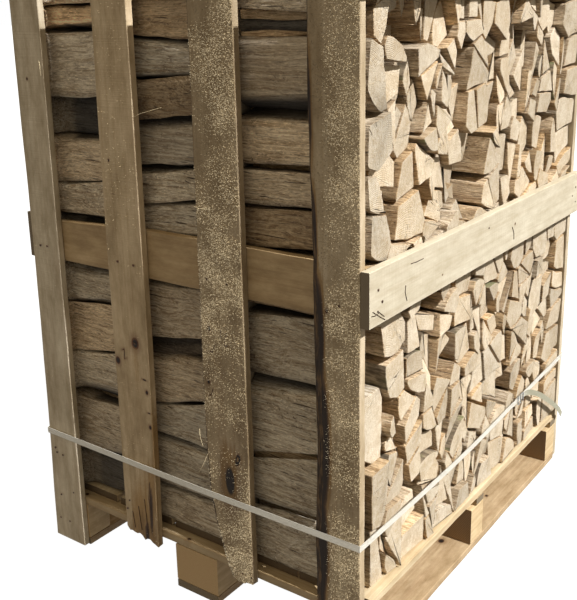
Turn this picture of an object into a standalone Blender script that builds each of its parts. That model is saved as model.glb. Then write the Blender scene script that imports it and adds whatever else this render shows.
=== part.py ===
"""A pallet crate of split firewood, in metres, +Z up, the origin on the ground under its middle.

A wooden pallet carries two slatted sides, at -Y and +Y, and cross boards that close the ends, at -X and
+X. The logs lie along X in three rows, one behind another, and each row is stacked in courses. A plastic
strap with a wire buckle goes once round the outside.
"""

import math
import random

import bmesh
import bpy
from mathutils import Vector

# Overall sizes
CRATE_X = 1.000
PALLET_Y = 1.200
CRATE_HEIGHT = 1.620
BOARD = 0.022
FIT = 0.0003

# Pallet
SKID_WIDTH = 0.140
SIDE_SKID_WIDTH = 0.100
BLOCK_DEPTH = 0.075
BLOCK_HEIGHT = 0.105
STRINGER_WIDTH = 0.045
STRINGER_SETBACK = 0.030
DECK_WIDTH = 0.190
DECK_SETBACK = 0.030
DECK_PITCH = (CRATE_X - DECK_WIDTH) / 4

# Boards of the sides and ends
BOARD_WIDTH = 0.120
MIDDLE_BOARD_Z = 0.837
TOP_BOARD_Z = 1.490
SHORT_BOARD = 0.012
CORNER_SLAT_BOTTOM = 0.010
INNER_SLAT_BOTTOM = 0.130
STRAP_CORNER = 0.5105

# Logs
LOG_LENGTH = 0.330
ROW_GAP = 0.003
LOG_COURSES = 7
LOG_COLUMNS = 14
LOG_SIDE = 0.577
LOG_TOP = 1.575
LOG_NOTCH = 0.014
LOG_GROOVE = 0.0045
LOG_END = 0.496
LOG_END_SPREAD = (0.045, 0.060)
LOG_END_DEEP = 0.436
LOG_CORE = 0.398

# Strap and buckle
STRAP_WIDTH = 0.016
STRAP = 0.001
WIRE = 0.003

# Levels worked out from the sizes above
BLOCK_BOTTOM = BOARD + FIT
STRINGER_BOTTOM = BLOCK_BOTTOM + BLOCK_HEIGHT + FIT
DECK_BOTTOM = STRINGER_BOTTOM + BOARD + FIT
LOG_FLOOR = DECK_BOTTOM + BOARD + FIT
SLAT_FACE = PALLET_Y / 2 + FIT + BOARD
END_FACE = CRATE_X / 2 + FIT + BOARD

# Where the courses of each row meet at the front slats, from the bottom, and where the outermost log of
# a course is itself two logs high
ROWS = {
    "right": {
        "seed": 11,
        "front": (0.335, 0.645, 0.815, 0.955, 1.145, 1.410),
        "pairs": (None, 0.475, None, None, 1.060, 1.240, 1.455),
    },
    "middle": {
        "seed": 5,
        "front": (0.425, 0.630, 0.820, 1.028, 1.210, 1.400),
        "pairs": (0.300, 0.515, 0.680, 0.943, 1.107, 1.317, 1.480),
    },
    "left": {
        "seed": 8,
        "front": (0.465, 0.570, 0.830, 0.962, 1.155, 1.410),
        "pairs": (0.289, None, 0.715, None, 1.050, 1.257, 1.452),
    },
}

# Logs of the right row that lie well back from the others, and one that stands proud, as (y, z)
SHORT_LOGS = (
    (-0.31, 1.43), (-0.40, 1.28), (0.16, 1.40), (0.36, 1.30), (0.38, 1.06),
    (-0.07, 1.07), (-0.33, 1.04), (-0.17, 0.97), (-0.24, 0.62), (0.21, 0.52),
)
PROUD_LOG = (0.55, 1.20)
PROUD_END = 0.512


def clear_scene():
    for item in list(bpy.data.objects):
        bpy.data.objects.remove(item, do_unlink=True)


def make_material(name, colour, roughness, metallic=0.0):
    material = bpy.data.materials.new(name)
    material.use_nodes = True
    shader = material.node_tree.nodes["Principled BSDF"]
    shader.inputs["Base Color"].default_value = (*colour, 1.0)
    shader.inputs["Roughness"].default_value = roughness
    shader.inputs["Metallic"].default_value = metallic
    return material


def add_mesh(name, bm, material):
    bmesh.ops.recalc_face_normals(bm, faces=bm.faces)
    mesh = bpy.data.meshes.new(name)
    bm.to_mesh(mesh)
    bm.free()
    mesh.materials.append(material)
    piece = bpy.data.objects.new(name, mesh)
    bpy.context.collection.objects.link(piece)
    return piece


def add_prism(name, outline, depth, material):
    """A flat outline of 3-D points, pushed along the vector depth into a closed board."""
    bm = bmesh.new()
    face = bm.faces.new([bm.verts.new(point) for point in outline])
    pushed = bmesh.ops.extrude_face_region(bm, geom=[face], use_keep_orig=True)
    moved = [item for item in pushed["geom"] if isinstance(item, bmesh.types.BMVert)]
    bmesh.ops.translate(bm, verts=moved, vec=depth)
    return add_mesh(name, bm, material)


def add_board(name, low, high, material):
    """A square-edged board between two corners."""
    (x0, y0, z0), (x1, y1, z1) = low, high
    outline = [(x0, y0, z0), (x1, y0, z0), (x1, y1, z0), (x0, y1, z0)]
    return add_prism(name, outline, (0, 0, z1 - z0), material)


def build_pallet(material):
    side = CRATE_X / 2
    end = PALLET_Y / 2
    block_centre = end - BLOCK_DEPTH / 2
    across = (
        ("left", -side, SIDE_SKID_WIDTH - side),
        ("middle", -SKID_WIDTH / 2, SKID_WIDTH / 2),
        ("right", side - SIDE_SKID_WIDTH, side),
    )
    along = (("front", -block_centre), ("middle", 0.0), ("back", block_centre))
    for where, low, high in across:
        add_board(f"skid_{where}", (low, -end, 0), (high, end, BOARD), material)
        for place, y in along:
            add_board(
                f"block_{where}_{place}",
                (low, y - BLOCK_DEPTH / 2, BLOCK_BOTTOM),
                (high, y + BLOCK_DEPTH / 2, BLOCK_BOTTOM + BLOCK_HEIGHT),
                material,
            )
    stringers = (
        ("front", -end),
        ("middle", STRINGER_SETBACK - BLOCK_DEPTH / 2),
        ("back", end - STRINGER_WIDTH),
    )
    for place, y in stringers:
        add_board(
            f"stringer_{place}",
            (-side, y, STRINGER_BOTTOM),
            (side, y + STRINGER_WIDTH, STRINGER_BOTTOM + BOARD),
            material,
        )
    for number in range(5):
        x = -side + DECK_WIDTH / 2 + number * DECK_PITCH
        add_board(
            f"deck_plank_{number + 1}",
            (x - DECK_WIDTH / 2, DECK_SETBACK - end, DECK_BOTTOM),
            (x + DECK_WIDTH / 2, end - DECK_SETBACK, DECK_BOTTOM + BOARD),
            material,
        )


def front_slats():
    """Outlines of the four front slats as (x, z), as they were sawn and nailed: none is quite straight."""
    side = CRATE_X / 2
    top = CRATE_HEIGHT
    low = INNER_SLAT_BOTTOM
    return (
        [(-0.521, CORNER_SLAT_BOTTOM), (-0.405, CORNER_SLAT_BOTTOM - 0.004), (-0.402, 0.7), (-0.394, top),
         (-side, top - 0.003), (-side, 0.8), (-0.503, 0.6), (-0.510, 0.34)],
        [(-0.226, low + 0.006), (-0.196, low - 0.006), (-0.150, low - 0.004), (-0.112, low - 0.022),
         (-0.104, 0.5), (-0.098, top - 0.002), (-0.209, top), (-0.220, 0.9)],
        [(0.130, low - 0.002), (0.158, low - 0.014), (0.201, low - 0.006), (0.200, 0.6), (0.200, top),
         (0.079, top - 0.004), (0.074, 0.8), (0.071, 0.45), (0.076, 0.335), (0.092, 0.243), (0.114, 0.173)],
        [(0.380, CORNER_SLAT_BOTTOM), (side, CORNER_SLAT_BOTTOM), (side, top), (0.381, top - 0.002),
         (0.378, 1.3), (0.382, 1.05), (0.378, 0.8), (0.382, 0.55), (0.376, 0.32)],
    )


def back_slats():
    """The back has the same four slats, square-edged."""
    side = CRATE_X / 2
    top = CRATE_HEIGHT
    spans = (
        (-side, -0.385, CORNER_SLAT_BOTTOM),
        (-0.205, -0.088, INNER_SLAT_BOTTOM),
        (0.092, 0.210, INNER_SLAT_BOTTOM - 0.005),
        (0.388, side, CORNER_SLAT_BOTTOM),
    )
    return [[(a, foot), (b, foot), (b + lean, top), (a + lean, top - 0.003)]
            for (a, b, foot), lean in zip(spans, (0.0, 0.006, -0.005, 0.0))]


def build_crate(material):
    for side, outlines, y in (("front", front_slats(), -SLAT_FACE), ("back", back_slats(), SLAT_FACE - BOARD)):
        for number, outline in enumerate(outlines, 1):
            points = [(x, y, z) for x, z in outline]
            add_prism(f"slat_{side}_{number}", points, (0, BOARD, 0), material)

    reach = CRATE_X / 2
    inner = PALLET_Y / 2 - FIT
    for height, z in (("middle", MIDDLE_BOARD_Z), ("top", TOP_BOARD_Z)):
        for side, y in (("front", -inner), ("back", inner - BOARD)):
            worn = 0.019 if (side, height) == ("front", "middle") else 0.0
            upper = z + BOARD_WIDTH
            outline = [(-reach, z), (reach, z), (reach, upper), (-0.1, upper), (-reach, upper - worn)]
            points = [(x, y, level) for x, level in (outline if worn else outline[:3] + [(-reach, upper)])]
            add_prism(f"rail_{side}_{height}", points, (0, BOARD, 0), material)
        for side, x, short in (("left", -END_FACE, SHORT_BOARD), ("right", END_FACE - BOARD, 0.0)):
            near = short - SLAT_FACE
            add_board(f"board_{side}_{height}", (x, near, z), (x + BOARD, SLAT_FACE, z + BOARD_WIDTH), material)


def cut_joints(rng):
    """The cracks between neighbouring logs of each course, as (y at the foot, y at the head)."""
    joints = []
    for _ in range(LOG_COURSES):
        widths = [rng.uniform(0.75, 1.25) for _ in range(LOG_COLUMNS)]
        scale = 2 * LOG_SIDE / sum(widths)
        y, side = -LOG_SIDE, rng.choice((-1, 1))
        course = []
        for width in widths[:-1]:
            y += width * scale
            lean = side * rng.uniform(0.004, 0.026)
            side = -side if rng.random() < 0.8 else side
            course.append((y - lean, y + lean))
        joints.append(course)
    return joints


def bed_lines(rng, row, joints):
    """The wavy lines that part the courses. A line rises where a log below ends in a ridge between two
    logs above, and dips where a log above hangs between two below. Also returns, for each line, at which
    of its points the joints above have their feet and the joints below their heads."""
    lines, feet, heads = [], [], []
    for k in range(LOG_COURSES + 1):
        even = LOG_FLOOR + (LOG_TOP - LOG_FLOOR) * k / LOG_COURSES
        inside = 0 < k < LOG_COURSES
        front = row["front"][k - 1] if inside else even
        phase, sway = rng.uniform(0, math.tau), rng.uniform(0.010, 0.022)
        marks = []
        if k < LOG_COURSES:
            marks += [(foot, "foot", j) for j, (foot, _) in enumerate(joints[k])]
        if k > 0:
            marks += [(head, "head", j) for j, (_, head) in enumerate(joints[k - 1])]
        line, foot_at, head_at = [], {}, {}
        spacing, margin = 0.011, 0.030
        previous = margin - LOG_SIDE
        for n, (y, kind, j) in enumerate(sorted(marks)):
            y = max(y, previous + spacing)
            y = min(y, LOG_SIDE - margin - spacing * (len(marks) - n))
            previous = y
            near_front = math.exp(-(((y + LOG_SIDE) / 0.22) ** 2))
            z = even + (front - even) * near_front
            if inside:
                z += sway * math.sin(phase + 5.0 * y) * (1 - near_front)
                ridge = rng.uniform(0.006, 0.026)
                z += ridge if kind == "foot" else -ridge
            elif k == LOG_COURSES:
                z += rng.uniform(-0.045, 0.0)
            (foot_at if kind == "foot" else head_at)[j] = len(line) + 1
            line.append((y, z))
        tuck = LOG_NOTCH if k > 0 else 0.0
        back = even + (sway * math.sin(phase + 5.0 * LOG_SIDE) if inside else 0.0)
        lines.append([(tuck - LOG_SIDE, front), *line, (LOG_SIDE - tuck, back)])
        feet.append(foot_at)
        heads.append(head_at)
    return lines, feet, heads


def outer_side(rng, put, sign, low, high, parted):
    """Corner points of the log, or of the pair of logs, that ends a course at -Y or +Y."""

    def rounded(bottom, top):
        height = top - bottom
        return [
            put(sign * (LOG_SIDE - rng.uniform(0, 0.006)), bottom + height * rng.uniform(0.06, 0.20)),
            put(sign * (LOG_SIDE - rng.uniform(0, 0.006)), top - height * rng.uniform(0.06, 0.22)),
        ]

    if parted is None:
        return rounded(low, high), None
    under = rounded(low, parted)
    notch = put(sign * (LOG_SIDE - LOG_NOTCH), parted)
    return under + [notch] + rounded(parted, high), notch


def cut_course(rng, lower, upper, feet, heads, parted):
    """Cuts the band between two bed lines into logs. Returns its points as (y, z), the loop of point
    numbers round the band, and a loop for each log."""
    points = []

    def put(y, z):
        points.append((y, z))
        return len(points) - 1

    low = [put(y, z + FIT) for y, z in lower]
    high = [put(y, z - FIT) for y, z in upper]
    left, left_notch = outer_side(rng, put, -1, lower[0][1], upper[0][1], parted)
    z0, z1 = lower[-1][1], upper[-1][1]
    middle = z0 + (z1 - z0) * rng.uniform(0.4, 0.6) if rng.random() < 0.8 else None
    right, right_notch = outer_side(rng, put, 1, z0, z1, middle)

    count = len(feet) + 1
    last = count - 1
    kinds = ("whole", "across", "rising", "falling")
    ways = [rng.choices(kinds, (0.28, 0.32, 0.20, 0.20))[0] for _ in range(count)]
    ways[0] = "whole" if left_notch is None else "across"
    ways[last] = "whole" if right_notch is None else "across"

    knees = {}
    for j in range(last):
        if "across" in (ways[j], ways[j + 1]):
            (y0, z0), (y1, z1) = points[low[feet[j]]], points[high[heads[j]]]
            t = rng.uniform(0.36, 0.64)
            knees[j] = put(y0 + (y1 - y0) * t + rng.uniform(-0.006, 0.006), z0 + (z1 - z0) * t)

    logs = []
    for c in range(count):
        a = 0 if c == 0 else feet[c - 1]
        b = len(low) - 1 if c == last else feet[c]
        p = 0 if c == 0 else heads[c - 1]
        q = len(high) - 1 if c == last else heads[c]
        up = right if c == last else [knees[c]] if c in knees else []
        down = left[::-1] if c == 0 else [knees[c - 1]] if c - 1 in knees else []
        loop = low[a:b + 1] + up + high[p:q + 1][::-1] + down
        narrow = min(points[low[b]][0] - points[low[a]][0], points[high[q]][0] - points[high[p]][0])
        if ways[c] == "across":
            start = left_notch if c == 0 else knees[c - 1]
            end = right_notch if c == last else knees[c]
        elif ways[c] == "whole" or narrow < 0.034:
            logs.append(loop)
            continue
        elif ways[c] == "rising":
            start, end = low[a], high[q]
        else:
            start, end = high[p], low[b]
        i, j = sorted((loop.index(start), loop.index(end)))
        logs += [loop[i:j + 1], loop[j:] + loop[:i + 1]]
    return points, low + right + high[::-1] + left[::-1], logs


def lay_row(row):
    """All courses of one row, from the bottom."""
    rng = random.Random(row["seed"])
    joints = cut_joints(rng)
    lines, feet, heads = bed_lines(rng, row, joints)
    return [
        cut_course(rng, lines[k], lines[k + 1], feet[k], heads[k + 1], row["pairs"][k])
        for k in range(LOG_COURSES)
    ]


def nearest_log(courses, spot):
    """Which log of a row holds the point spot, as (course, log)."""
    best = None
    for k, (points, _, logs) in enumerate(courses):
        for n, loop in enumerate(logs):
            y = sum(points[i][0] for i in loop) / len(loop)
            z = sum(points[i][1] for i in loop) / len(loop)
            away = math.hypot(y - spot[0], z - spot[1])
            if best is None or away < best[0]:
                best = (away, k, n)
    return best[1:]


def end_reaches(name, courses, rng):
    """How far from the crate's middle each log of an outer row ends."""
    reaches = []
    for k, (_, _, logs) in enumerate(courses):
        spread = LOG_END_SPREAD[k > LOG_COURSES // 2]
        reaches.append([LOG_END - spread * rng.random() ** 2.5 for _ in logs])
    hidden_side = -1 if name == "left" else 1
    for course, (points, _, logs) in zip(reaches, courses):
        for n, loop in enumerate(logs):
            if max(hidden_side * points[i][0] for i in loop) > LOG_SIDE - LOG_NOTCH:
                course[n] = LOG_END
    if name == "right":
        for spot in SHORT_LOGS:
            k, n = nearest_log(courses, spot)
            reaches[k][n] = LOG_END_DEEP
        k, n = nearest_log(courses, PROUD_LOG)
        reaches[k][n] = PROUD_END
    return reaches


def add_course(name, course, inner, core, reaches, material):
    """One course as a closed solid from x = inner to x = core, where the end of each log stands out to
    its own reach and tapers a little, so that a groove is left round it."""
    points, outline, logs = course
    bm = bmesh.new()
    near = {i: bm.verts.new((inner, *points[i])) for i in outline}
    far = {}

    def far_vert(i):
        if i not in far:
            far[i] = bm.verts.new((core, *points[i]))
        return far[i]

    bm.faces.new([near[i] for i in outline])
    for i, j in zip(outline, outline[1:] + outline[:1]):
        bm.faces.new((near[i], near[j], far_vert(j), far_vert(i)))
    if reaches is None:
        bm.faces.new([far_vert(i) for i in outline])
        return add_mesh(name, bm, material)

    ends = [bm.faces.new([far_vert(i) for i in loop]) for loop in logs]
    stood_out = bmesh.ops.extrude_discrete_faces(bm, faces=ends)["faces"]
    for face, reach in zip(stood_out, reaches):
        centre = face.calc_center_median_weighted()
        corners = [v.co.copy() for v in face.verts]
        closest = min(
            ((b - a).cross(centre - a)).length / (b - a).length
            for a, b in zip(corners, corners[1:] + corners[:1])
        )
        shrink = 1 - min(LOG_GROOVE / closest, 0.45)
        for vert in face.verts:
            vert.co = centre + (vert.co - centre) * shrink
            vert.co.x = math.copysign(reach, core)
    return add_mesh(name, bm, material)


def build_logs(material):
    half = LOG_LENGTH / 2 - ROW_GAP
    for name, row in ROWS.items():
        courses = lay_row(row)
        rng = random.Random(row["seed"] + 100)
        side = {"left": -1, "middle": 0, "right": 1}[name]
        reaches = end_reaches(name, courses, rng) if side else [None] * LOG_COURSES
        inner = side * (half + ROW_GAP) if side else -half
        core = side * LOG_CORE if side else half
        for number, (course, reach) in enumerate(zip(courses, reaches), 1):
            add_course(f"logs_{name}_{number}", course, inner, core, reach, material)


def strap_stations():
    """Places along the strap as (middle of its inner face, outward normal, direction of its width). It
    starts under the buckle, goes round the back, the left and the front, laps over its own start through
    the buckle, and ends in a loose tail that curls down."""
    x, y = CRATE_X / 2, SLAT_FACE
    over = FIT + STRAP + FIT
    up = Vector((0, 0, 1))
    right, back, left, front = Vector((1, 0, 0)), Vector((0, 1, 0)), Vector((-1, 0, 0)), Vector((0, -1, 0))
    round_crate = (
        (x, 0.235, 0.341, right, FIT), (x, y, 0.358, right, FIT), (x, y, 0.358, back, FIT),
        (-x, y, 0.345, back, FIT), (-x, y, 0.345, left, FIT), (-STRAP_CORNER, -y, 0.338, left, FIT),
        (-STRAP_CORNER, -y, 0.338, front, FIT), (0.05, -y, 0.330, front, FIT), (x, -y, 0.332, front, FIT),
        (x, -y, 0.332, right, FIT),
        (x, -0.330, 0.326, right, FIT), (x, -0.060, 0.327, right, FIT), (x, 0.185, 0.339, right, FIT),
        (x, 0.225, 0.341, right, over), (x, 0.315, 0.343, right, over),
    )
    stations = [(Vector((a, b, c)) + n * off, n, up) for a, b, c, n, off in round_crate]
    tail = (
        (0.507, 0.358, 0.328), (0.511, 0.411, 0.302), (0.515, 0.464, 0.268),
        (0.517, 0.520, 0.231), (0.518, 0.575, 0.190), (0.517, 0.606, 0.160),
    )
    places = [stations[-1][0]] + [Vector(point) for point in tail]
    for n, place in enumerate(places[1:], 1):
        ahead = places[min(n + 1, len(places) - 1)]
        run = (ahead - places[n - 1]).normalized()
        width = right.cross(run).normalized()
        stations.append((place, run.cross(width), width))
    return stations


def build_strap(material):
    bm = bmesh.new()
    rings = []
    for place, normal, width in strap_stations():
        half = width * STRAP_WIDTH / 2
        depth = normal * STRAP
        corners = (place - half, place + half, place + half + depth, place - half + depth)
        rings.append([bm.verts.new(corner) for corner in corners])
    for ring, following in zip(rings, rings[1:]):
        for a in range(4):
            b = (a + 1) % 4
            bm.faces.new((ring[a], ring[b], following[b], following[a]))
    bm.faces.new(rings[0])
    bm.faces.new(rings[-1])
    return add_mesh("strap", bm, material)


def build_buckle(material):
    """A bent wire with three bars across the strap, joined by its two sides."""
    x = CRATE_X / 2 + 3 * FIT + 2 * STRAP + WIRE / 2
    middle, start, pitch, half, bend = 0.342, 0.252, 0.019, 0.0135, 0.003
    path = [(start, half)]
    for bar in range(3):
        y = start + bar * pitch
        sign = 1 if bar % 2 == 0 else -1
        if bar > 0:
            path += [(y - bend, sign * half), (y, sign * (half - bend))]
        if bar < 2:
            path += [(y, -sign * (half - bend)), (y + bend, -sign * half)]
        else:
            path += [(y, -sign * half)]
    curve = bpy.data.curves.new("strap_buckle", "CURVE")
    curve.dimensions = "3D"
    curve.bevel_depth = WIRE / 2
    curve.bevel_resolution = 1
    curve.use_fill_caps = True
    spline = curve.splines.new("POLY")
    spline.points.add(len(path) - 1)
    for point, (y, z) in zip(spline.points, path):
        point.co = (x, y, middle + z, 1)
    curve.materials.append(material)
    piece = bpy.data.objects.new("strap_buckle", curve)
    bpy.context.collection.objects.link(piece)
    return piece


def main():
    clear_scene()
    pallet_wood = make_material("pallet_wood", (0.42, 0.27, 0.13), 0.85)
    crate_wood = make_material("crate_wood", (0.48, 0.36, 0.21), 0.80)
    log_wood = make_material("log_wood", (0.62, 0.49, 0.33), 0.85)
    strap_plastic = make_material("strap_plastic", (0.72, 0.70, 0.66), 0.45)
    buckle_wire = make_material("buckle_wire", (0.40, 0.41, 0.42), 0.40, 0.9)
    build_pallet(pallet_wood)
    build_crate(crate_wood)
    build_logs(log_wood)
    build_strap(strap_plastic)
    build_buckle(buckle_wire)


main()
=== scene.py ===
# %% [markdown]
# # A pallet crate of split firewood
#
# The crate is a wooden pallet with slatted sides, cross boards at its two ends, and nearly nine hundred
# pieces of split wood inside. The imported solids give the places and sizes. This script gives each board its
# saw marks and knots, makes every log, and lights the whole. All lengths are in metres.

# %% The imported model
import math
import random

import bpy
import numpy as np
from mathutils import Matrix, Vector


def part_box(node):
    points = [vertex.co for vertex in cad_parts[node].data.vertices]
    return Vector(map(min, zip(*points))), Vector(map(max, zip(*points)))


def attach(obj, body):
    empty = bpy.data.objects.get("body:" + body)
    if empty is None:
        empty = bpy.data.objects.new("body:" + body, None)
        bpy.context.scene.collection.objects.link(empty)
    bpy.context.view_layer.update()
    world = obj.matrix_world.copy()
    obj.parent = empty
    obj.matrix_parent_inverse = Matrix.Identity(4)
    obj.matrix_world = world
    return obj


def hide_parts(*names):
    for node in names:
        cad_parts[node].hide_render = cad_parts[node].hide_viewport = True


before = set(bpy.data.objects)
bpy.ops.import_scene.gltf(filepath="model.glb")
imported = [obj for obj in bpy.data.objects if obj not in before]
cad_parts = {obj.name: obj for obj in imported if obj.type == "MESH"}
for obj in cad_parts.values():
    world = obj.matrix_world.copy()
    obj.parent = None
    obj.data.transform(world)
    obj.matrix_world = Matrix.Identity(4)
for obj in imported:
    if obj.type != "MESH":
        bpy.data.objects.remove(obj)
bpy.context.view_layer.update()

# %% [markdown]
# ## Camera
#
# The photograph was taken from a little above head height near one corner, so both the slatted side and
# the end with the cut logs show. The level of the horizon is at the very top of the picture, and the lens
# points at a row a little above the middle one. A camera is three directions and a place: it is simplest to
# write those down from the yaw, pitch and roll.

# %% Camera
PICTURE_HEIGHT, LENS_ROW = 600, 255
FOCAL_PIXELS, SENSOR = 905.2, 36
CAMERA_PLACE = (1.387, -2.083, 1.473)
YAW, PITCH, ROLL = math.radians(-35.96), math.radians(15.71), math.radians(-1.23)


def add_camera():
    ahead = Vector((math.sin(YAW) * math.cos(PITCH), math.cos(YAW) * math.cos(PITCH), -math.sin(PITCH)))
    level = Vector((math.cos(YAW), -math.sin(YAW), 0))
    upward = level.cross(ahead)
    right = level * math.cos(ROLL) + upward * math.sin(ROLL)
    top = upward * math.cos(ROLL) - level * math.sin(ROLL)
    data = bpy.data.cameras.new("camera")
    data.sensor_width = SENSOR
    data.lens = FOCAL_PIXELS / PICTURE_HEIGHT * SENSOR
    data.shift_y = (LENS_ROW - PICTURE_HEIGHT / 2) / PICTURE_HEIGHT
    camera = bpy.data.objects.new("camera", data)
    turn = Matrix((right, top, -ahead)).transposed().to_4x4()
    camera.matrix_world = Matrix.Translation(CAMERA_PLACE) @ turn
    bpy.context.collection.objects.link(camera)
    bpy.context.scene.camera = camera


add_camera()
print("camera at", CAMERA_PLACE)

# %% [markdown]
# ## Light and floor
#
# One large key light stands at the end with the cut logs, and skims along the slatted side, so that side
# is in shade. A sun lamp keeps such a light even over the whole crate, and its angle sets how soft the
# shadows are. The room fills the shade, more from above than from below. The floor is a plain pale sheet. It
# throws no light back up, because a white floor would wash the shade out.

# %% Key light, room and floor
KEY_HEIGHT, KEY_TURN = math.radians(47), math.radians(-0.75)
KEY_STRENGTH, KEY_SIZE, KEY_COLOUR = 6.0, math.radians(0.8), (1.0, 0.985, 0.955)
FILL_COLOUR, FILL_RISE, FILL_BELOW, FILL_ABOVE = (1.0, 0.85, 0.62, 1), 0.7, 0.05, 0.54
WHITE, FLOOR_GREY, FLOOR_HALF = (1.0, 1.0, 1.0, 1), (0.10, 0.10, 0.10, 1), 60


def add_light():
    data = bpy.data.lights.new("key", "SUN")
    data.energy, data.angle, data.color = KEY_STRENGTH, KEY_SIZE, KEY_COLOUR
    lamp = bpy.data.objects.new("key", data)
    level = math.cos(KEY_HEIGHT)
    toward = Vector((level * math.cos(KEY_TURN), level * math.sin(KEY_TURN), math.sin(KEY_HEIGHT)))
    lamp.rotation_euler = toward.to_track_quat("Z", "Y").to_euler()
    bpy.context.collection.objects.link(lamp)


def add_room():
    world = bpy.data.worlds.new("room")
    bpy.context.scene.world = world
    world.use_nodes = True
    nodes, links = world.node_tree.nodes, world.node_tree.links
    fill, backdrop = nodes["Background"], nodes.new("ShaderNodeBackground")
    fill.inputs["Color"].default_value = FILL_COLOUR
    backdrop.inputs["Color"].default_value = WHITE
    way, split = nodes.new("ShaderNodeTexCoord"), nodes.new("ShaderNodeSeparateXYZ")
    rise_up = nodes.new("ShaderNodeMapRange")
    for key, value in (
        ("From Min", -FILL_RISE), ("From Max", FILL_RISE), ("To Min", FILL_BELOW), ("To Max", FILL_ABOVE)
    ):
        rise_up.inputs[key].default_value = value
    seen, choice = nodes.new("ShaderNodeLightPath"), nodes.new("ShaderNodeMixShader")
    for start, end in (
        (way.outputs["Generated"], split.inputs[0]),
        (split.outputs["Z"], rise_up.inputs["Value"]),
        (rise_up.outputs[0], fill.inputs["Strength"]),
        (seen.outputs["Is Camera Ray"], choice.inputs[0]),
        (fill.outputs[0], choice.inputs[1]),
        (backdrop.outputs[0], choice.inputs[2]),
        (choice.outputs[0], nodes["World Output"].inputs["Surface"]),
    ):
        links.new(start, end)


def add_floor():
    mesh = bpy.data.meshes.new("floor")
    corners = [(x * FLOOR_HALF, y * FLOOR_HALF, 0) for x, y in ((-1, -1), (1, -1), (1, 1), (-1, 1))]
    mesh.from_pydata(corners, [], [(0, 1, 2, 3)])
    floor = bpy.data.objects.new("floor", mesh)
    bpy.context.collection.objects.link(floor)
    paper = bpy.data.materials.new("pale_paper")
    paper.use_nodes = True
    shader = paper.node_tree.nodes["Principled BSDF"]
    shader.inputs["Base Color"].default_value = FLOOR_GREY
    shader.inputs["Roughness"].default_value = 1.0
    shader.inputs["Emission Color"].default_value = WHITE
    shader.inputs["Emission Strength"].default_value = 1.0
    mesh.materials.append(paper)
    floor.visible_diffuse = False


add_light()
add_room()
add_floor()
bpy.context.scene.view_settings.view_transform = "Standard"
print("key light at", round(math.degrees(KEY_HEIGHT)), "degrees, a room and a floor")

# %% [markdown]
# ## A short way to write materials
#
# Blender's materials are graphs of nodes, which take many lines to build by hand. Here each output of a
# node is wrapped in a small class, so that ordinary Python sums add the Math nodes. Any other node comes
# from one method, which takes the node's type, its settings and what goes into its sockets. Most finishes
# are layers of colour, each laid on where some noise is high or low, so one more method takes a table of
# such layers.

# %% Node helper
DULL_SPECULAR = 0.25


def paint(red, green, blue):
    """A colour as it is picked from a screen, 0 to 255, turned into the light values that shaders use."""
    steps = [value / 255 for value in (red, green, blue)]
    return tuple(s / 12.92 if s <= 0.04045 else ((s + 0.055) / 1.055) ** 2.4 for s in steps)


class Value:
    """One output of a material's nodes."""

    def __init__(self, finish, socket):
        self.finish, self.socket = finish, socket

    def __add__(self, other):
        return self.finish.math("ADD", self, other)

    def __sub__(self, other):
        return self.finish.math("SUBTRACT", self, other)

    def __rsub__(self, other):
        return self.finish.math("SUBTRACT", other, self)

    def __mul__(self, other):
        return self.finish.math("MULTIPLY", self, other)

    def __pow__(self, other):
        return self.finish.math("POWER", self, other)

    __radd__, __rmul__ = __add__, __mul__


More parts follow.
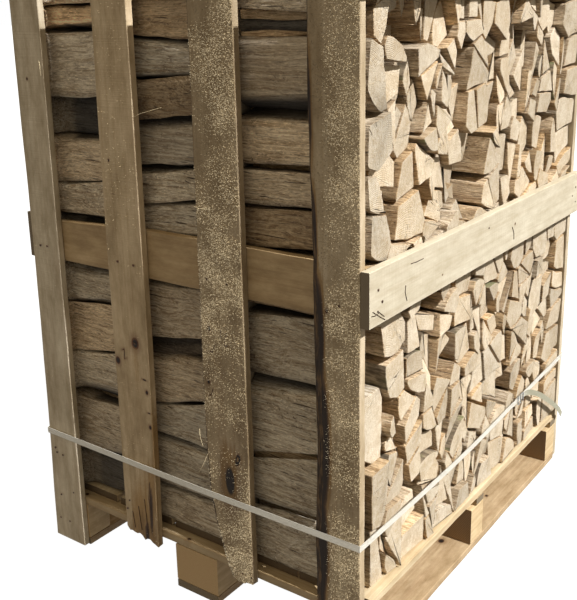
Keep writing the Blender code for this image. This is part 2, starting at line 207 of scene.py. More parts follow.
class Finish:
    """A material that is being built."""

    def __init__(self, name, roughness=0.8, metallic=0.0):
        self.material = bpy.data.materials.new(name)
        self.material.use_nodes = True
        self.tree = self.material.node_tree
        self.shader = self.tree.nodes["Principled BSDF"]
        self.shader.inputs["Roughness"].default_value = roughness
        self.shader.inputs["Metallic"].default_value = metallic
        self.shader.inputs["Specular IOR Level"].default_value = DULL_SPECULAR

    def node(self, kind, feeds=None, out=0, **settings):
        node = self.tree.nodes.new(kind)
        for key, value in settings.items():
            setattr(node, key, value)
        for key, value in (feeds or {}).items():
            self.feed(node.inputs[key], value)
        return Value(self, node.outputs[out])

    def feed(self, socket, value):
        if isinstance(value, Value):
            self.tree.links.new(value.socket, socket)
        elif isinstance(value, tuple) and len(value) == 3 and socket.type == "RGBA":
            socket.default_value = (*value, 1)
        else:
            socket.default_value = value

    def attribute(self, name):
        return self.node("ShaderNodeAttribute", out=1, attribute_name=name, attribute_type="GEOMETRY")

    def place(self):
        return self.node("ShaderNodeTexCoord", out=3)

    def parts(self, vector):
        split = self.node("ShaderNodeSeparateXYZ", {0: vector})
        return split, Value(self, split.socket.node.outputs[1]), Value(self, split.socket.node.outputs[2])

    def join(self, x, y, z):
        return self.node("ShaderNodeCombineXYZ", {0: x, 1: y, 2: z})

    def math(self, operation, *feeds):
        return self.node("ShaderNodeMath", dict(enumerate(feeds)), operation=operation)

    def vector(self, operation, *feeds, out=0):
        return self.node("ShaderNodeVectorMath", dict(enumerate(feeds)), out=out, operation=operation)

    def length(self, x, y, z):
        return self.vector("LENGTH", self.join(x, y, z), out=1)

    def noise(self, vector, scale=1.0, detail=2.0, rough=0.55):
        """Noise between 0 and 1. scale: how fine it is, as one number or as one for each axis."""
        if isinstance(scale, tuple):
            vector, scale = self.vector("MULTIPLY", vector, scale), 1.0
        feeds = {"Vector": vector, "Scale": scale, "Detail": detail, "Roughness": rough}
        return self.node("ShaderNodeTexNoise", feeds)

    def band(self, value, low, high):
        """0 below low, 1 above high, and the other way round where low is the larger."""
        feeds = {"Value": value, "From Min": low, "From Max": high}
        return self.node("ShaderNodeMapRange", feeds, interpolation_type="SMOOTHSTEP")

    def mix(self, factor, first, second, blend="MIX"):
        feeds = {0: factor, 6: first, 7: second}
        return self.node("ShaderNodeMix", feeds, out=2, data_type="RGBA", blend_type=blend)

    def layers(self, colour, *rows):
        """Lays colours over a colour. Each row: a value, where its band starts and ends, strength, colour."""
        for value, low, high, strength, over in rows:
            colour = self.mix(self.band(value, low, high) * strength, colour, over)
        return colour

    def times(self, colour, tint, share=1.0):
        """Tints a colour, as thin stain does."""
        return self.mix(share, colour, tint, "MULTIPLY")

    def bump(self, height, depth, under=None):
        feeds = {"Height": height, "Distance": depth}
        if under:
            feeds["Normal"] = under
        return self.node("ShaderNodeBump", feeds)

    def glow(self, colour, strength):
        self.shader.inputs["Emission Color"].default_value = (*colour, 1)
        self.shader.inputs["Emission Strength"].default_value = strength

    def done(self, colour, normal=None):
        self.feed(self.shader.inputs["Base Color"], colour)
        if normal:
            self.feed(self.shader.inputs["Normal"], normal)
        return self.material


# %% [markdown]
# ## Finish: rough-sawn boards
#
# The crate is nailed up from cheap softwood straight off the saw. The grain runs along each board as
# fine lines between paler wood, the blade leaves faint marks across it, and knots push the lines aside.
# Every board's mesh carries three sets of numbers for this: where a point lies along and across the board,
# how far it is from the nearest knot, and the board's own tint. One recipe then serves every board. Raised
# fibres on the rough slats get pale flecks, a painted glint of the sun on their tips. On the fourth slat the
# wood is worn smooth near the corner, and its very edge, which faces the sun, is painted lighter as a painted
# highlight.

# %% Sawn wood
WORN_SMOOTH, PAINTED_HIGHLIGHT_EDGE = (0.445, 0.485), (0.4970, 0.4995)
SMOOTHER, HIGHLIGHT_LIFT, FIBRE_GLINT = 0.14, 0.10, 0.68


def sawn_wood(name, pale, dark, knot_colour, lined=0.5, fuzz=0.4, stain=0.4, cloudy=0.3, blotch=1.0):
    f = Finish(name, roughness=0.82)
    grain = f.attribute("grain")
    along, across, through = f.parts(grain)
    knot_along, knot_across, soaked = f.parts(f.attribute("knot"))
    tone, warm, woolly = f.parts(f.attribute("tint"))
    far = f.length(knot_along, knot_across, 0.0)
    bent = across + knot_across * f.band(far, 4.0, 0.6) * 0.007
    wander = f.noise(grain, (1.3, 9.0, 9.0), detail=3)
    lines = f.noise(f.join(along * 1.1, bent * 95.0 + wander * 3.0, through * 60.0), detail=3, rough=0.6)
    fibre = f.noise(f.join(along * 14.0, bent * 620.0, through * 620.0))
    patches = f.noise(grain, (3.0 * blotch, 14.0 * blotch, 14.0), detail=4, rough=0.65)
    cloud = f.noise(grain, (6.0 * blotch, 16.0 * blotch, 16.0), detail=5, rough=0.7)
    marks = f.noise(grain, (330.0, 4.0, 4.0), detail=1)
    wool = f.noise(grain, (420.0, 280.0, 280.0), detail=3, rough=0.7)
    ring = f.noise(f.join(far * 3.2, wander, 0.0), detail=1)

    colour = f.layers(
        pale,
        (lines, 0.35, 0.72, lined, dark),
        (fibre, 0.50, 0.85, 0.30, dark),
        (patches, 0.50, 0.80, stain, paint(150, 128, 100)),
    )
    uneven = (lines - 0.5) * 0.9 + (wool - 0.5) * 0.5 + (patches - 0.5) * 0.5
    colour = f.layers(
        f.times(colour, (1.0, 0.84, 0.62), warm),
        (far, 2.3, 0.9, 0.45, knot_colour),
        (far, 1.08, 0.86, 1.0, f.mix(ring, knot_colour, paint(58, 36, 22))),
        (soaked + uneven * f.band(soaked, 0.0, 0.2), 0.20, 0.75, 0.9, paint(156, 124, 76)),
        (soaked + uneven * 0.5, 0.85, 1.25, 1.0, paint(92, 68, 44)),
        (soaked + uneven * 0.8, 1.1, 1.7, 1.0, paint(46, 34, 24)),
        (far, 0.80, 0.55, 1.0, paint(34, 24, 16)),
    )
    place_x, _, _ = f.parts(f.place())
    is_woolly = f.band(woolly, 0.0, 0.1)
    # Painted highlight: the fourth slat's edge that faces the sun is painted lighter.
    tone = tone * (1.0 + f.band(place_x, *PAINTED_HIGHLIGHT_EDGE) * is_woolly * HIGHLIGHT_LIFT)
    shade = 1.0 + (cloud - 0.5) * cloudy * 3.0
    colour = f.times(colour, f.join(shade * tone, (shade ** 1.15) * tone, (shade ** 1.45) * tone))

    where = f.noise(grain, (5.0, 16.0, 0.0), detail=4, rough=0.7) + (woolly - 0.5)
    where = where - f.band(place_x, *WORN_SMOOTH) * SMOOTHER
    raised_and_glint = f.band(wool, 0.58, 0.70) * f.band(where, 0.42, 0.68) * is_woolly
    raised_and_glint = raised_and_glint * f.band(far, 0.9, 1.4) * f.band(soaked, 0.9, 0.3)
    # Pale flecks on the raised fibres: a painted glint of the sun catching their tips.
    colour = f.mix(raised_and_glint * FIBRE_GLINT, colour, paint(242, 216, 168))
    height = lines * 0.35 + fibre * fuzz + marks * 0.5
    return f.done(colour, f.bump(raised_and_glint, 0.0022, under=f.bump(height, 0.0009)))


SLAT_WOOD = sawn_wood(
    "slat_wood", paint(200, 188, 166), paint(176, 158, 130), paint(112, 66, 36), fuzz=0.7, cloudy=0.55,
)
BOARD_WOOD = sawn_wood(
    "board_wood", paint(208, 200, 180), paint(190, 177, 152), paint(140, 104, 66),
    stain=0.25, cloudy=0.25, blotch=1.6,
)
PALLET_WOOD = sawn_wood(
    "pallet_wood", paint(205, 190, 160), paint(184, 160, 124), paint(120, 84, 52), lined=0.7, stain=0.35,
)
SKID_WOOD = sawn_wood(
    "skid_wood", paint(184, 162, 130), paint(150, 122, 90), paint(104, 70, 42),
    lined=0.6, stain=0.6, cloudy=0.45, blotch=2.0,
)
BLOCK_WOOD = sawn_wood(
    "block_wood", paint(208, 186, 148), paint(174, 146, 106), paint(104, 70, 42), lined=0.7, stain=0.45,
)
print("sawn wood:", SLAT_WOOD.name, BOARD_WOOD.name, PALLET_WOOD.name, SKID_WOOD.name, BLOCK_WOOD.name)

# %% [markdown]
# The sawn end of a board shows rings seen end on. It is darker than the faces, because the ends drink dirt.
# The ends of the deck planks and of the inner blocks are painted darker still: painted shade, for the shadow
# they lie in under the logs and inside the pallet's openings. The front blocks' ends are pale. A board that
# keeps the tree's outside has bark on that edge.

# %% Ends of the boards
PITH_AWAY = 0.04


def end_grain(name, pale, dark, speck):
    f = Finish(name, roughness=0.9)
    grain = f.attribute("grain")
    _, across, through = f.parts(grain)
    wobble = f.noise(grain, 40.0)
    rings = f.math("SINE", f.length(across, through + PITH_AWAY, 0.0) * 1500.0 + wobble * 5.0)
    specks = f.noise(grain, 700.0)
    colour = f.layers(pale, (rings, -0.6, 1.0, 0.5, dark), (specks, 0.5, 0.8, 0.5, speck))
    return f.done(colour, f.bump(specks, 0.0012))


def bark_edge():
    f = Finish("bark_edge", roughness=0.9)
    rough = f.noise(f.place(), (160.0, 160.0, 28.0), detail=4, rough=0.65)
    colour = f.layers(paint(46, 35, 25), (rough, 0.40, 0.75, 1.0, paint(116, 90, 58)))
    return f.done(colour, f.bump(rough, 0.004))


BOARD_END = end_grain("board_end", paint(136, 122, 100), paint(96, 82, 64), paint(70, 58, 44))
BLOCK_END = end_grain("block_end", paint(208, 178, 134), paint(168, 134, 92), paint(236, 212, 170))
# Painted shade: the plank ends and the inner block ends are darker for the shadow they lie in.
SHADED_PLANK_END = end_grain("painted_shade_plank_end", paint(104, 88, 66), paint(74, 60, 44), paint(56, 44, 32))
SHADED_BLOCK_END = end_grain("painted_shade_block_end", paint(146, 118, 84), paint(104, 80, 54), paint(166, 138, 100))
BARK_EDGE = bark_edge()
print("ends and a bark edge:", BOARD_END.name, BLOCK_END.name, SHADED_PLANK_END.name, BARK_EDGE.name)

# %% [markdown]
# ## Finish: split wood, cut ends and bark
#
# A log is sawn to length and then split, so it shows three surfaces. Its split faces tear along the fibres
# and look ribbed. Its ends are sawn and pale, with growth rings about the trunk's middle and short drying
# cracks that point at it. What is left of the trunk's outside is bark. Each log carries the place of its
# trunk's middle and its own tint as attributes, so that no two look alike. The tint also carries painted
# shade and painted light, laid on further on.

# %% Split wood


def split_wood():
    f = Finish("split_wood", roughness=0.85)
    seed = f.attribute("seed")
    spot = f.vector("ADD", f.place(), seed)
    x, y, z = f.parts(spot)
    tone, warm, grey = f.parts(f.attribute("tint"))
    own, _, _ = f.parts(seed)
    wavy = f.math("FRACT", own)
    sweep = f.noise(spot, (5.0, 9.0, 9.0)) * (3.0 + wavy * wavy * 14.0)

    def strands(along, across, sway, **how):
        """Noise drawn out along the fibres, which sway to one side and back."""
        aside = sweep * sway
        return f.noise(f.join(x * along, y * across + aside, z * across + aside), **how)

    ribs = strands(4.5, 150.0, 1.0, detail=5, rough=0.78)
    fibre = strands(40.0, 420.0, 2.0, detail=3, rough=0.6)
    fleck = strands(85.0, 330.0, 2.0, detail=3, rough=0.65)
    torn = strands(20.0, 230.0, 1.0, detail=3, rough=0.7)
    crack = f.band(strands(9.0, 240.0, 0.5, detail=1), 0.70, 0.76)
    blotch = f.noise(spot, (7.0, 16.0, 16.0), detail=4, rough=0.6)
    pits = f.noise(spot, (130.0, 170.0, 170.0))
    colour = f.layers(
        paint(222, 215, 201),
        (ribs, 0.36, 0.64, 1.0, paint(167, 151, 128)),
        (ribs, 0.58, 0.70, f.band(blotch, 0.42, 0.60) * 0.6, paint(108, 82, 56)),
        (fibre, 0.50, 0.68, 0.5, paint(122, 98, 70)),
        (blotch, 0.46, 0.70, 0.6, paint(134, 119, 98)),
        (torn, 0.54, 0.66, 0.7, paint(90, 72, 54)),
        (fleck, 0.55, 0.68, 0.7, paint(238, 228, 208)),
        (fleck, 0.45, 0.33, 0.45, paint(104, 86, 66)),
        (pits, 0.60, 0.68, f.band(blotch, 0.52, 0.64) * 0.8, paint(62, 46, 32)),
    )
    colour = f.mix(crack * 0.9, colour, paint(46, 32, 22))
    colour = f.times(colour, (1.0, 0.80, 0.56), warm)
    colour = f.mix(grey, colour, f.mix(f.band(ribs, 0.3, 0.7), paint(178, 168, 154), paint(124, 112, 98)))
    height = ribs * 0.6 + fibre * 0.25 + fleck * 0.3 - torn * 0.5 - crack * 0.8
    return f.done(f.times(colour, f.join(tone, tone, tone)), f.bump(height, 0.0040))


SPLIT_WOOD = split_wood()
print(SPLIT_WOOD.name, "made")

# %% Cut ends and bark


def cut_end():
    f = Finish("cut_end", roughness=0.85)
    spot = f.vector("ADD", f.place(), f.attribute("seed"))
    _, y, z = f.parts(f.vector("SUBTRACT", f.place(), f.attribute("pith")))
    tone, warm, grey = f.parts(f.attribute("tint"))
    wobble = f.noise(spot, 16.0)
    radius, angle = f.length(0.0, y, z), f.math("ARCTAN2", z, y)
    rings = f.math("SINE", radius * 1700.0 + wobble * 9.0)
    rays = f.noise(f.join(angle * 55.0, radius * 9.0, wobble))
    seams = f.noise(f.join(angle * 9.0, radius * 5.0, wobble * 2.0), detail=1)
    crack = f.band(f.math("ABSOLUTE", seams - 0.5), 0.010, 0.002)
    crack = crack * f.band(f.noise(spot, 9.0, detail=1), 0.58, 0.68)
    patches = f.noise(spot, 28.0, detail=4, rough=0.6)
    specks = f.noise(spot, 420.0)
    saw = f.noise(spot, (30.0, 420.0, 60.0))
    fleck = f.noise(spot, 150.0, detail=3, rough=0.7)
    colour = f.layers(
        paint(207, 198, 182),
        (patches, 0.35, 0.70, 1.0, paint(188, 175, 154)),
        (rings, 0.20, 1.00, 0.22, paint(164, 138, 100)),
        (rays, 0.55, 0.80, 0.25, paint(172, 150, 116)),
        (specks, 0.54, 0.68, 0.40, paint(146, 120, 84)),
        (saw, 0.52, 0.68, 0.30, paint(160, 136, 100)),
        (fleck, 0.52, 0.70, 0.50, paint(176, 154, 118)),
        (fleck, 0.44, 0.30, 0.50, paint(220, 214, 202)),
    )
    colour = f.times(colour, (1.0, 0.88, 0.70), warm * 0.32)
    colour = f.times(colour, (0.90, 0.88, 0.86), grey * 0.4)
    colour = f.times(f.mix(crack, colour, paint(78, 58, 40)), f.join(tone, tone, tone))
    height = rings * 0.12 + rays * 0.25 + saw * 0.7 + specks * 0.7 + fleck - crack * 3.0
    return f.done(colour, f.bump(height, 0.0018))


def bark():
    f = Finish("bark", roughness=0.92)
    spot = f.vector("ADD", f.place(), f.attribute("seed"))
    tone, warm, _ = f.parts(f.attribute("tint"))
    plates = f.noise(spot, (26.0, 70.0, 70.0), detail=5, rough=0.65)
    furrows = f.noise(spot, (12.0, 120.0, 120.0), detail=3, rough=0.6)
    moss = f.noise(spot, (14.0, 30.0, 30.0), detail=4)
    colour = f.layers(
        paint(106, 94, 78),
        (plates, 0.35, 0.68, 1.0, paint(162, 148, 126)),
        (furrows, 0.55, 0.42, 0.55, paint(66, 54, 43)),
        (moss, 0.50, 0.64, f.band(warm, 0.55, 0.75) * 0.6, paint(136, 142, 98)),
    )
    return f.done(f.times(colour, f.join(tone, tone, tone)), f.bump(plates * 0.8 + furrows, 0.0026))


CUT_END, BARK = cut_end(), bark()
print(CUT_END.name, "and", BARK.name, "made")

# %% [markdown]
# ## Meshes from numbers
#
# Boards and logs are both long shapes whose cross-section changes a little on the way. The simplest way to
# make hundreds of them is to work out rings of points with numpy and to join each ring to the next.

# %% Mesh helper
SHARP = math.radians(32)


def hand_over(thing, slot, node=None):
    """Attaches a mesh to the root body and hides the solid it stands for, if any. Its slot is not used."""
    if node:
        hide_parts(node)
    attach(thing, "root")


class Shell:
    """Collects closed shapes, each a stack of rings, for one mesh."""

    def __init__(self):
        self.points, self.faces, self.finish, self.extra, self.count = [], [], [], {}, 0

    def stack(self, rings, side_finish, caps, extra):
        """rings: (stations, points, 3). side_finish: one finish for each gap between a ring's points.
        caps: (faces of one cap as point numbers, finish). extra: attributes, one row for each point."""
        stations, around, _ = rings.shape
        base = self.count
        index = base + np.arange(stations * around).reshape(stations, around)
        a, b = index[:-1], index[1:]
        quads = np.stack([a, np.roll(a, -1, 1), np.roll(b, -1, 1), b], axis=2).reshape(-1, 4)
        self.faces += quads.tolist()
        self.finish += np.tile(side_finish, stations - 1).tolist()
        cap_faces, cap_finish = caps
        first, last = base, base + (stations - 1) * around
        for face in cap_faces:
            self.faces.append([first + i for i in reversed(face)])
            self.faces.append([last + i for i in face])
            self.finish += [cap_finish, cap_finish]
        self.points.append(rings.reshape(-1, 3))
        self.count += stations * around
        for key, values in extra.items():
            values = np.broadcast_to(values, (stations, around, 3)).reshape(-1, 3)
            self.extra.setdefault(key, []).append(values)

    def piece(self, name, finishes, node, slot):
        mesh = bpy.data.meshes.new(name)
        mesh.from_pydata(np.concatenate(self.points).tolist(), [], self.faces)
        for finish in finishes:
            mesh.materials.append(finish)
        mesh.polygons.foreach_set("material_index", np.array(self.finish, dtype=np.int32))
        for key, values in self.extra.items():
            layer = mesh.attributes.new(key, "FLOAT_VECTOR", "POINT")
            layer.data.foreach_set("vector", np.concatenate(values).astype(np.float32).ravel())
        mesh.shade_smooth()
        mesh.set_sharp_from_angle(angle=SHARP)
        thing = bpy.data.objects.new(name, mesh)
        bpy.context.collection.objects.link(thing)
        hand_over(thing, slot, node)


def rise(values, start, length):
    """0 up to start, then rising to 1 over a length. A negative length rises the other way."""
    return np.clip((values - start) / length, 0, 1)


def ripple(rng, count, short, long):
    """A smooth random function of two lengths, about -1 to 1, whose waves are from short to long."""
    waves = []
    for _ in range(count):
        turn = rng.uniform(0, math.pi)
        number = math.tau / rng.uniform(short, long)
        waves.append((number * math.cos(turn), number * math.sin(turn), rng.uniform(0, math.tau)))

    def at(a, b):
        return sum(np.sin(p * a + q * b + r) for p, q, r in waves) / count ** 0.5

    return at


# %% [markdown]
# ## Boards
#
# A board is a stack of rings along its grain. Its edges can be straight, or follow a table where it was cut
# or grew crooked. Each arris has a small ease, and a waney arris, where the tree's round outside shows,
# has a large one with bark on it. A board may also end in a torn foot. The faces lie a little inside the
# solid's, and dip unevenly towards the middle of the board.

# %% Rings of a board
EASE, RAGGED, SUNK, DIPPED = 0.0012, 0.0005, 0.0004, 0.00032
ACROSS_STEP, ALONG_STEP = 0.011, 0.022
TORN_LENGTH, SPLINTER, WANE_VARIES = 0.06, 0.003, 0.12


def track(table, places):
    """Follows a table of (place, value), or a single number."""
    if isinstance(table, (int, float)):
        return np.full(len(places), float(table))
    spots, values = zip(*table)
    return np.interp(places, spots, values)


def board_rings(rng, low, high, edges, wane, foot, thin):
    """Returns the rings, as (along, across, through), the finish of each gap between a ring's points, and
    how many steps the face has. low and high are the board's corners in that order too."""
    along = np.linspace(low[0], high[0], max(3, round((high[0] - low[0]) / ALONG_STEP) + 1))
    edge_a, edge_b = edges or (low[1], high[1])
    wobble = ripple(rng, 4, 0.05, 0.5)
    side_a = track(edge_a, along) + RAGGED * (wobble(along, 0) + 1)
    side_b = track(edge_b, along) - RAGGED * (wobble(along, 9) + 1)
    front, back = low[2] + SUNK, high[2] - SUNK
    round_a = np.full(len(along), EASE)
    if wane:
        uneven = 1 + WANE_VARIES * ripple(rng, 5, 0.06, 0.3)(along, 0)
        round_a = np.maximum(track(wane, along) * uneven, EASE)
    steps = max(2, round((high[1] - low[1]) / ACROSS_STEP))
    share = np.linspace(0, 1, steps + 1)
    points = []

    def put(across, through):
        points.append(np.stack(np.broadcast_arrays(along, across, through), axis=1))

    for s in share:
        put(side_a + round_a + (side_b - EASE - side_a - round_a) * s, front)
    put(side_b, front + EASE)
    put(side_b, back - EASE)
    for s in share[::-1]:
        put(side_a + EASE + (side_b - side_a - 2 * EASE) * s, back)
    put(side_a, back - EASE)
    reach = np.minimum(round_a * 1.1, (back - front) * 0.8)
    put(side_a, front + reach)
    put(side_a + round_a * 0.30, front + reach * 0.28)
    rings = np.stack(points, axis=1)
    finish = np.zeros(rings.shape[1], dtype=int)
    if wane:
        finish[-2:] = 2

    dip = np.abs(ripple(rng, 5, 0.10, 0.9)(rings[..., 0], rings[..., 1]) - 1.2) * DIPPED
    middle = (front + back) / 2
    rings[..., 2] -= np.sign(rings[..., 2] - middle) * dip
    rings[..., 2] += track(thin, along)[:, None] * (rings[..., 2] < middle)
    if foot:
        torn = np.interp(rings[..., 1], *zip(*foot))
        torn += SPLINTER * ripple(rng, 6, 0.004, 0.03)(rings[..., 1], rings[..., 2])
        near = rise(rings[..., 0], low[0] + TORN_LENGTH, -TORN_LENGTH) ** 1.5
        rings[..., 0] += np.maximum(torn, 0) * near
    return rings, finish, steps


# %% [markdown]
# The material needs to know how far each point is from the nearest knot, counted in the knot's own radii, so
# that a long knot comes out long. A board without a table of knots gets a few small ones. The third number
# says how soaked the wood is.

# %% One board
SMALL_KNOT = (0.003, 0.009)
KNOT_STRETCH = 1.25
RIGHT_HANDED = ((0, 1, 2), (1, 2, 0), (2, 0, 1))


def board_marks(rng, rings, low, high, knots, soaked):
    """Returns for each point how far it is along and across from a knot, and how soaked it is."""
    ranges = ((low[0], high[0]), (low[1], high[1]), SMALL_KNOT)
    spots = list(knots)
    if not spots:
        spots = [[rng.uniform(*ends) for ends in ranges] for _ in range(rng.choice((0, 1, 1, 2, 3)))]
    marks = np.full(rings.shape, 99.0)
    for along, across, radius, *stretch in spots:
        long = radius * (stretch[0] if stretch else KNOT_STRETCH)
        away = (rings - (along, across, 0)) / (long, radius, 1)
        closer = np.linalg.norm(away[..., :2], axis=-1) < np.linalg.norm(marks[..., :2], axis=-1)
        marks[closer] = away[closer]
    marks[..., 2] = 0
    for along, across, half_long, half_wide, strength in soaked:
        away = np.hypot((rings[..., 0] - along) / half_long, (rings[..., 1] - across) / half_wide)
        marks[..., 2] = np.maximum(marks[..., 2], strength * np.clip(1.4 - away, 0, 1))
    return marks


def add_sawn_board(node, wood, slot, seed, axes, edges=None, knots=(), wane=None, foot=None,
                   tone=1.0, warm=0.0, soaked=(), woolly=0.0, cap_finish=None, thin=0.0):
    """Makes one board.

    axes: which of x, y and z runs along, across and through it.
    edges: the places of its two long edges, each a number or a table (along, across).
    knots: (along, across, radius, and how much longer than wide).
    wane: a table (along, width) of the bark on its lower edge.
    foot: a table (across, how far up the end is torn).
    tone, warm, woolly: how light and how yellow it is, and how many raised fibres its face has, each with a
    pale painted glint.
    soaked: dark spots (along, across, half length, half width, strength).
    cap_finish: the finish of its two ends.
    thin: how far its face is planed down, a number or a table (along, how far)."""
    rng = random.Random(seed)
    low, high = (np.array(corner)[list(axes)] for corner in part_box(node))
    rings, finish, steps = board_rings(rng, low, high, edges, wane, foot, thin)
    offset = np.array([rng.uniform(-5, 5) for _ in range(3)])
    marks = board_marks(rng, rings, low, high, knots, soaked)
    out = np.empty_like(rings)
    out[..., list(axes)] = rings
    n = steps + 1
    caps = [(i, i + 1, 2 * n - i, 2 * n + 1 - i) for i in range(steps)]
    caps += [(steps, n, n + 1, n + 2), (0, 2 * n + 1, 2 * n + 2, 2 * n + 3, 2 * n + 4)]
    order = slice(None) if axes in RIGHT_HANDED else slice(None, None, -1)
    shell = Shell()
    shell.stack(out[order], finish, (caps, 1), {
        "grain": (rings - (low + high) / 2 + offset)[order], "knot": marks[order],
        "tint": np.array([tone * rng.uniform(0.97, 1.03), warm, woolly]),
    })
    shell.piece(f"{node}_board", [wood, cap_finish or BOARD_END, BARK_EDGE], node, slot)


# %% [markdown]
# ## The pallet
#
# Three skids, nine blocks, three stringers and five deck planks. All are plain boards: only the way their
# grain runs differs. The last plank is a little crooked.

# %% Pallet boards
ALONG_X, ALONG_Y, ALONG_Z = (0, 1, 2), (1, 0, 2), (2, 0, 1)
PALLET_SEED, DECK_PLANKS = 100, 5
CROOKED = ((-0.6, -0.010), (-0.40, -0.006), (0.0, 0.0))

seed = PALLET_SEED
for where in ("left", "middle", "right"):
    add_sawn_board(f"skid_{where}", SKID_WOOD, "pallet_wood", seed, ALONG_Y, tone=0.91, warm=0.14)
    for place in ("front", "middle", "back"):
        seed += 1
        add_sawn_board(
            f"block_{where}_{place}", BLOCK_WOOD, "pallet_wood", seed, ALONG_Y,
            cap_finish=BLOCK_END if place == "front" else SHADED_BLOCK_END,
        )
for place in ("front", "middle", "back"):
    seed += 1
    add_sawn_board(f"stringer_{place}", PALLET_WOOD, "pallet_wood", seed, ALONG_X, tone=0.80, warm=0.5)
for plank in range(1, DECK_PLANKS + 1):
    seed += 1
    (low_x, _, _), (high_x, _, _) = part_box(f"deck_plank_{plank}")
    edge = [(y, low_x + aside) for y, aside in CROOKED] if plank == DECK_PLANKS else low_x
    add_sawn_board(
        f"deck_plank_{plank}", PALLET_WOOD, "pallet_wood", seed, ALONG_Y, edges=(edge, high_x),
        tone=1.02, warm=0.1, cap_finish=SHADED_PLANK_END,
    )
print("pallet boards:", seed - PALLET_SEED + 3)

# %% [markdown]
# ## Slats, rails and boards
#
# The front slats were sawn crooked, so their edges follow tables. The second slat is splintered and stained
# at its foot and has a row of knots. The third has a round outside edge that tapers in at its foot,
# with a knot hole beside it. The hole is not cut into the board: its dark middle is painted, partly the
# knot's own dark wood and partly painted shade for the hole. The fourth keeps a strip of bark along one
# edge. The front middle rail has a worn upper edge.

# %% Slats
TOP = 1.62
SLATS = {
    1: {
        "edges": (
            [(0.006, -0.521), (0.34, -0.510), (0.60, -0.503), (0.80, -0.500), (TOP, -0.500)],
            [(0.006, -0.405), (0.7, -0.402), (TOP, -0.394)],
        ),
        "knots": [(1.30, -0.46, 0.003)],
        "tone": 0.98, "thin": 0.0026,
    },
    2: {
        "edges": (
            [(0.108, -0.226), (0.9, -0.220), (TOP, -0.209)],
            [(0.108, -0.112), (0.5, -0.104), (TOP, -0.098)],
        ),
        "knots": [
            (0.669, -0.146, 0.0125, 1.3), (0.611, -0.211, 0.0085), (0.545, -0.117, 0.005),
            (0.451, -0.113, 0.005), (1.12, -0.19, 0.003),
        ],
        "foot": [
            (-0.226, 0.028), (-0.205, 0.016), (-0.18, 0.018), (-0.16, 0.010), (-0.145, 0.015), (-0.12, 0.0),
            (-0.11, 0.0),
        ],
        "soaked": [
            (0.12, -0.160, 0.17, 0.050, 0.95), (0.26, -0.125, 0.10, 0.016, 0.9),
            (0.20, -0.129, 0.10, 0.0055, 1.75), (0.13, -0.150, 0.05, 0.0050, 1.7),
            (0.42, -0.108, 0.14, 0.007, 0.7), (0.62, -0.150, 0.10, 0.020, 0.3),
        ],
        "tone": 0.99, "warm": 0.55, "woolly": 0.12,
        "thin": [(0.0, 0.0022), (0.80, 0.0020), (0.95, 0.0004), (TOP, 0.0)],
    },
    3: {
        "edges": (
            [(0.116, 0.136), (0.173, 0.114), (0.243, 0.092), (0.335, 0.076), (0.45, 0.071), (0.8, 0.074),
             (TOP, 0.079)],
            [(0.116, 0.201), (0.6, 0.200), (TOP, 0.200)],
        ),
        "knots": [
            (0.758, 0.099, 0.006), (0.754, 0.151, 0.003), (0.624, 0.090, 0.0045), (0.450, 0.174, 0.004),
            # The knot hole, not cut: its dark middle is partly painted shade.
            (0.383, 0.1425, 0.0200, 2.7),
        ],
        "wane": [(0.1, 0.006), (0.25, 0.010), (0.40, 0.006), (0.6, 0.002), (TOP, 0.0015)],
        "foot": [(0.12, 0.014), (0.158, 0.0), (0.18, 0.006), (0.201, 0.008)],
        "soaked": [
            (0.40, 0.140, 0.085, 0.028, 0.95), (0.385, 0.1425, 0.050, 0.020, 0.9),
            (0.62, 0.090, 0.06, 0.012, 0.4), (0.24, 0.130, 0.05, 0.014, 0.35),
            (0.45, 0.174, 0.02, 0.010, 0.5), (0.76, 0.10, 0.03, 0.012, 0.5),
        ],
        "tone": 0.64, "warm": 0.62, "woolly": 0.56,
    },
    4: {
        "edges": (
            [(0.01, 0.380), (0.32, 0.376), (0.55, 0.382), (0.8, 0.378), (1.05, 0.382), (1.3, 0.378),
             (TOP, 0.381)],
            0.5,
        ),
        "knots": [(0.86, 0.42, 0.004)],
        "wane": [
            (0.0, 0.012), (0.15, 0.018), (0.30, 0.022), (0.6, 0.026), (0.8, 0.022), (0.95, 0.013),
            (1.2, 0.004), (TOP, 0.002),
        ],
        "soaked": [
            (0.10, 0.392, 0.12, 0.019, 2.9), (0.30, 0.394, 0.16, 0.023, 3.0), (0.55, 0.396, 0.18, 0.027, 3.0),
            (0.80, 0.392, 0.14, 0.020, 2.9), (1.00, 0.386, 0.12, 0.012, 2.6), (1.25, 0.382, 0.14, 0.005, 2.2),
        ],
        "tone": 0.77, "warm": 0.44, "woolly": 0.59,
    },
}
FRONT_SEED, BACK_SEED = 200, 210

for slat, looks in SLATS.items():
    add_sawn_board(f"slat_front_{slat}", SLAT_WOOD, "crate_wood", FRONT_SEED + slat, ALONG_Z, **looks)
    add_sawn_board(
        f"slat_back_{slat}", SLAT_WOOD, "crate_wood", BACK_SEED + slat, ALONG_Z, tone=0.98, warm=0.1,
    )
print("slats:", 2 * len(SLATS))

# %% Rails and outer boards
RAIL_AXES, BOARD_AXES = (0, 2, 1), (1, 2, 0)
RAIL_SEED, BOARD_SEED = 220, 240
WORN_RAIL = [(-0.5, 0.938), (-0.1, 0.957), (0.5, 0.957)]
BOARD_KNOTS = {"middle": [(0.12, 0.90, 0.003), (-0.3, 0.87, 0.002)], "top": ()}

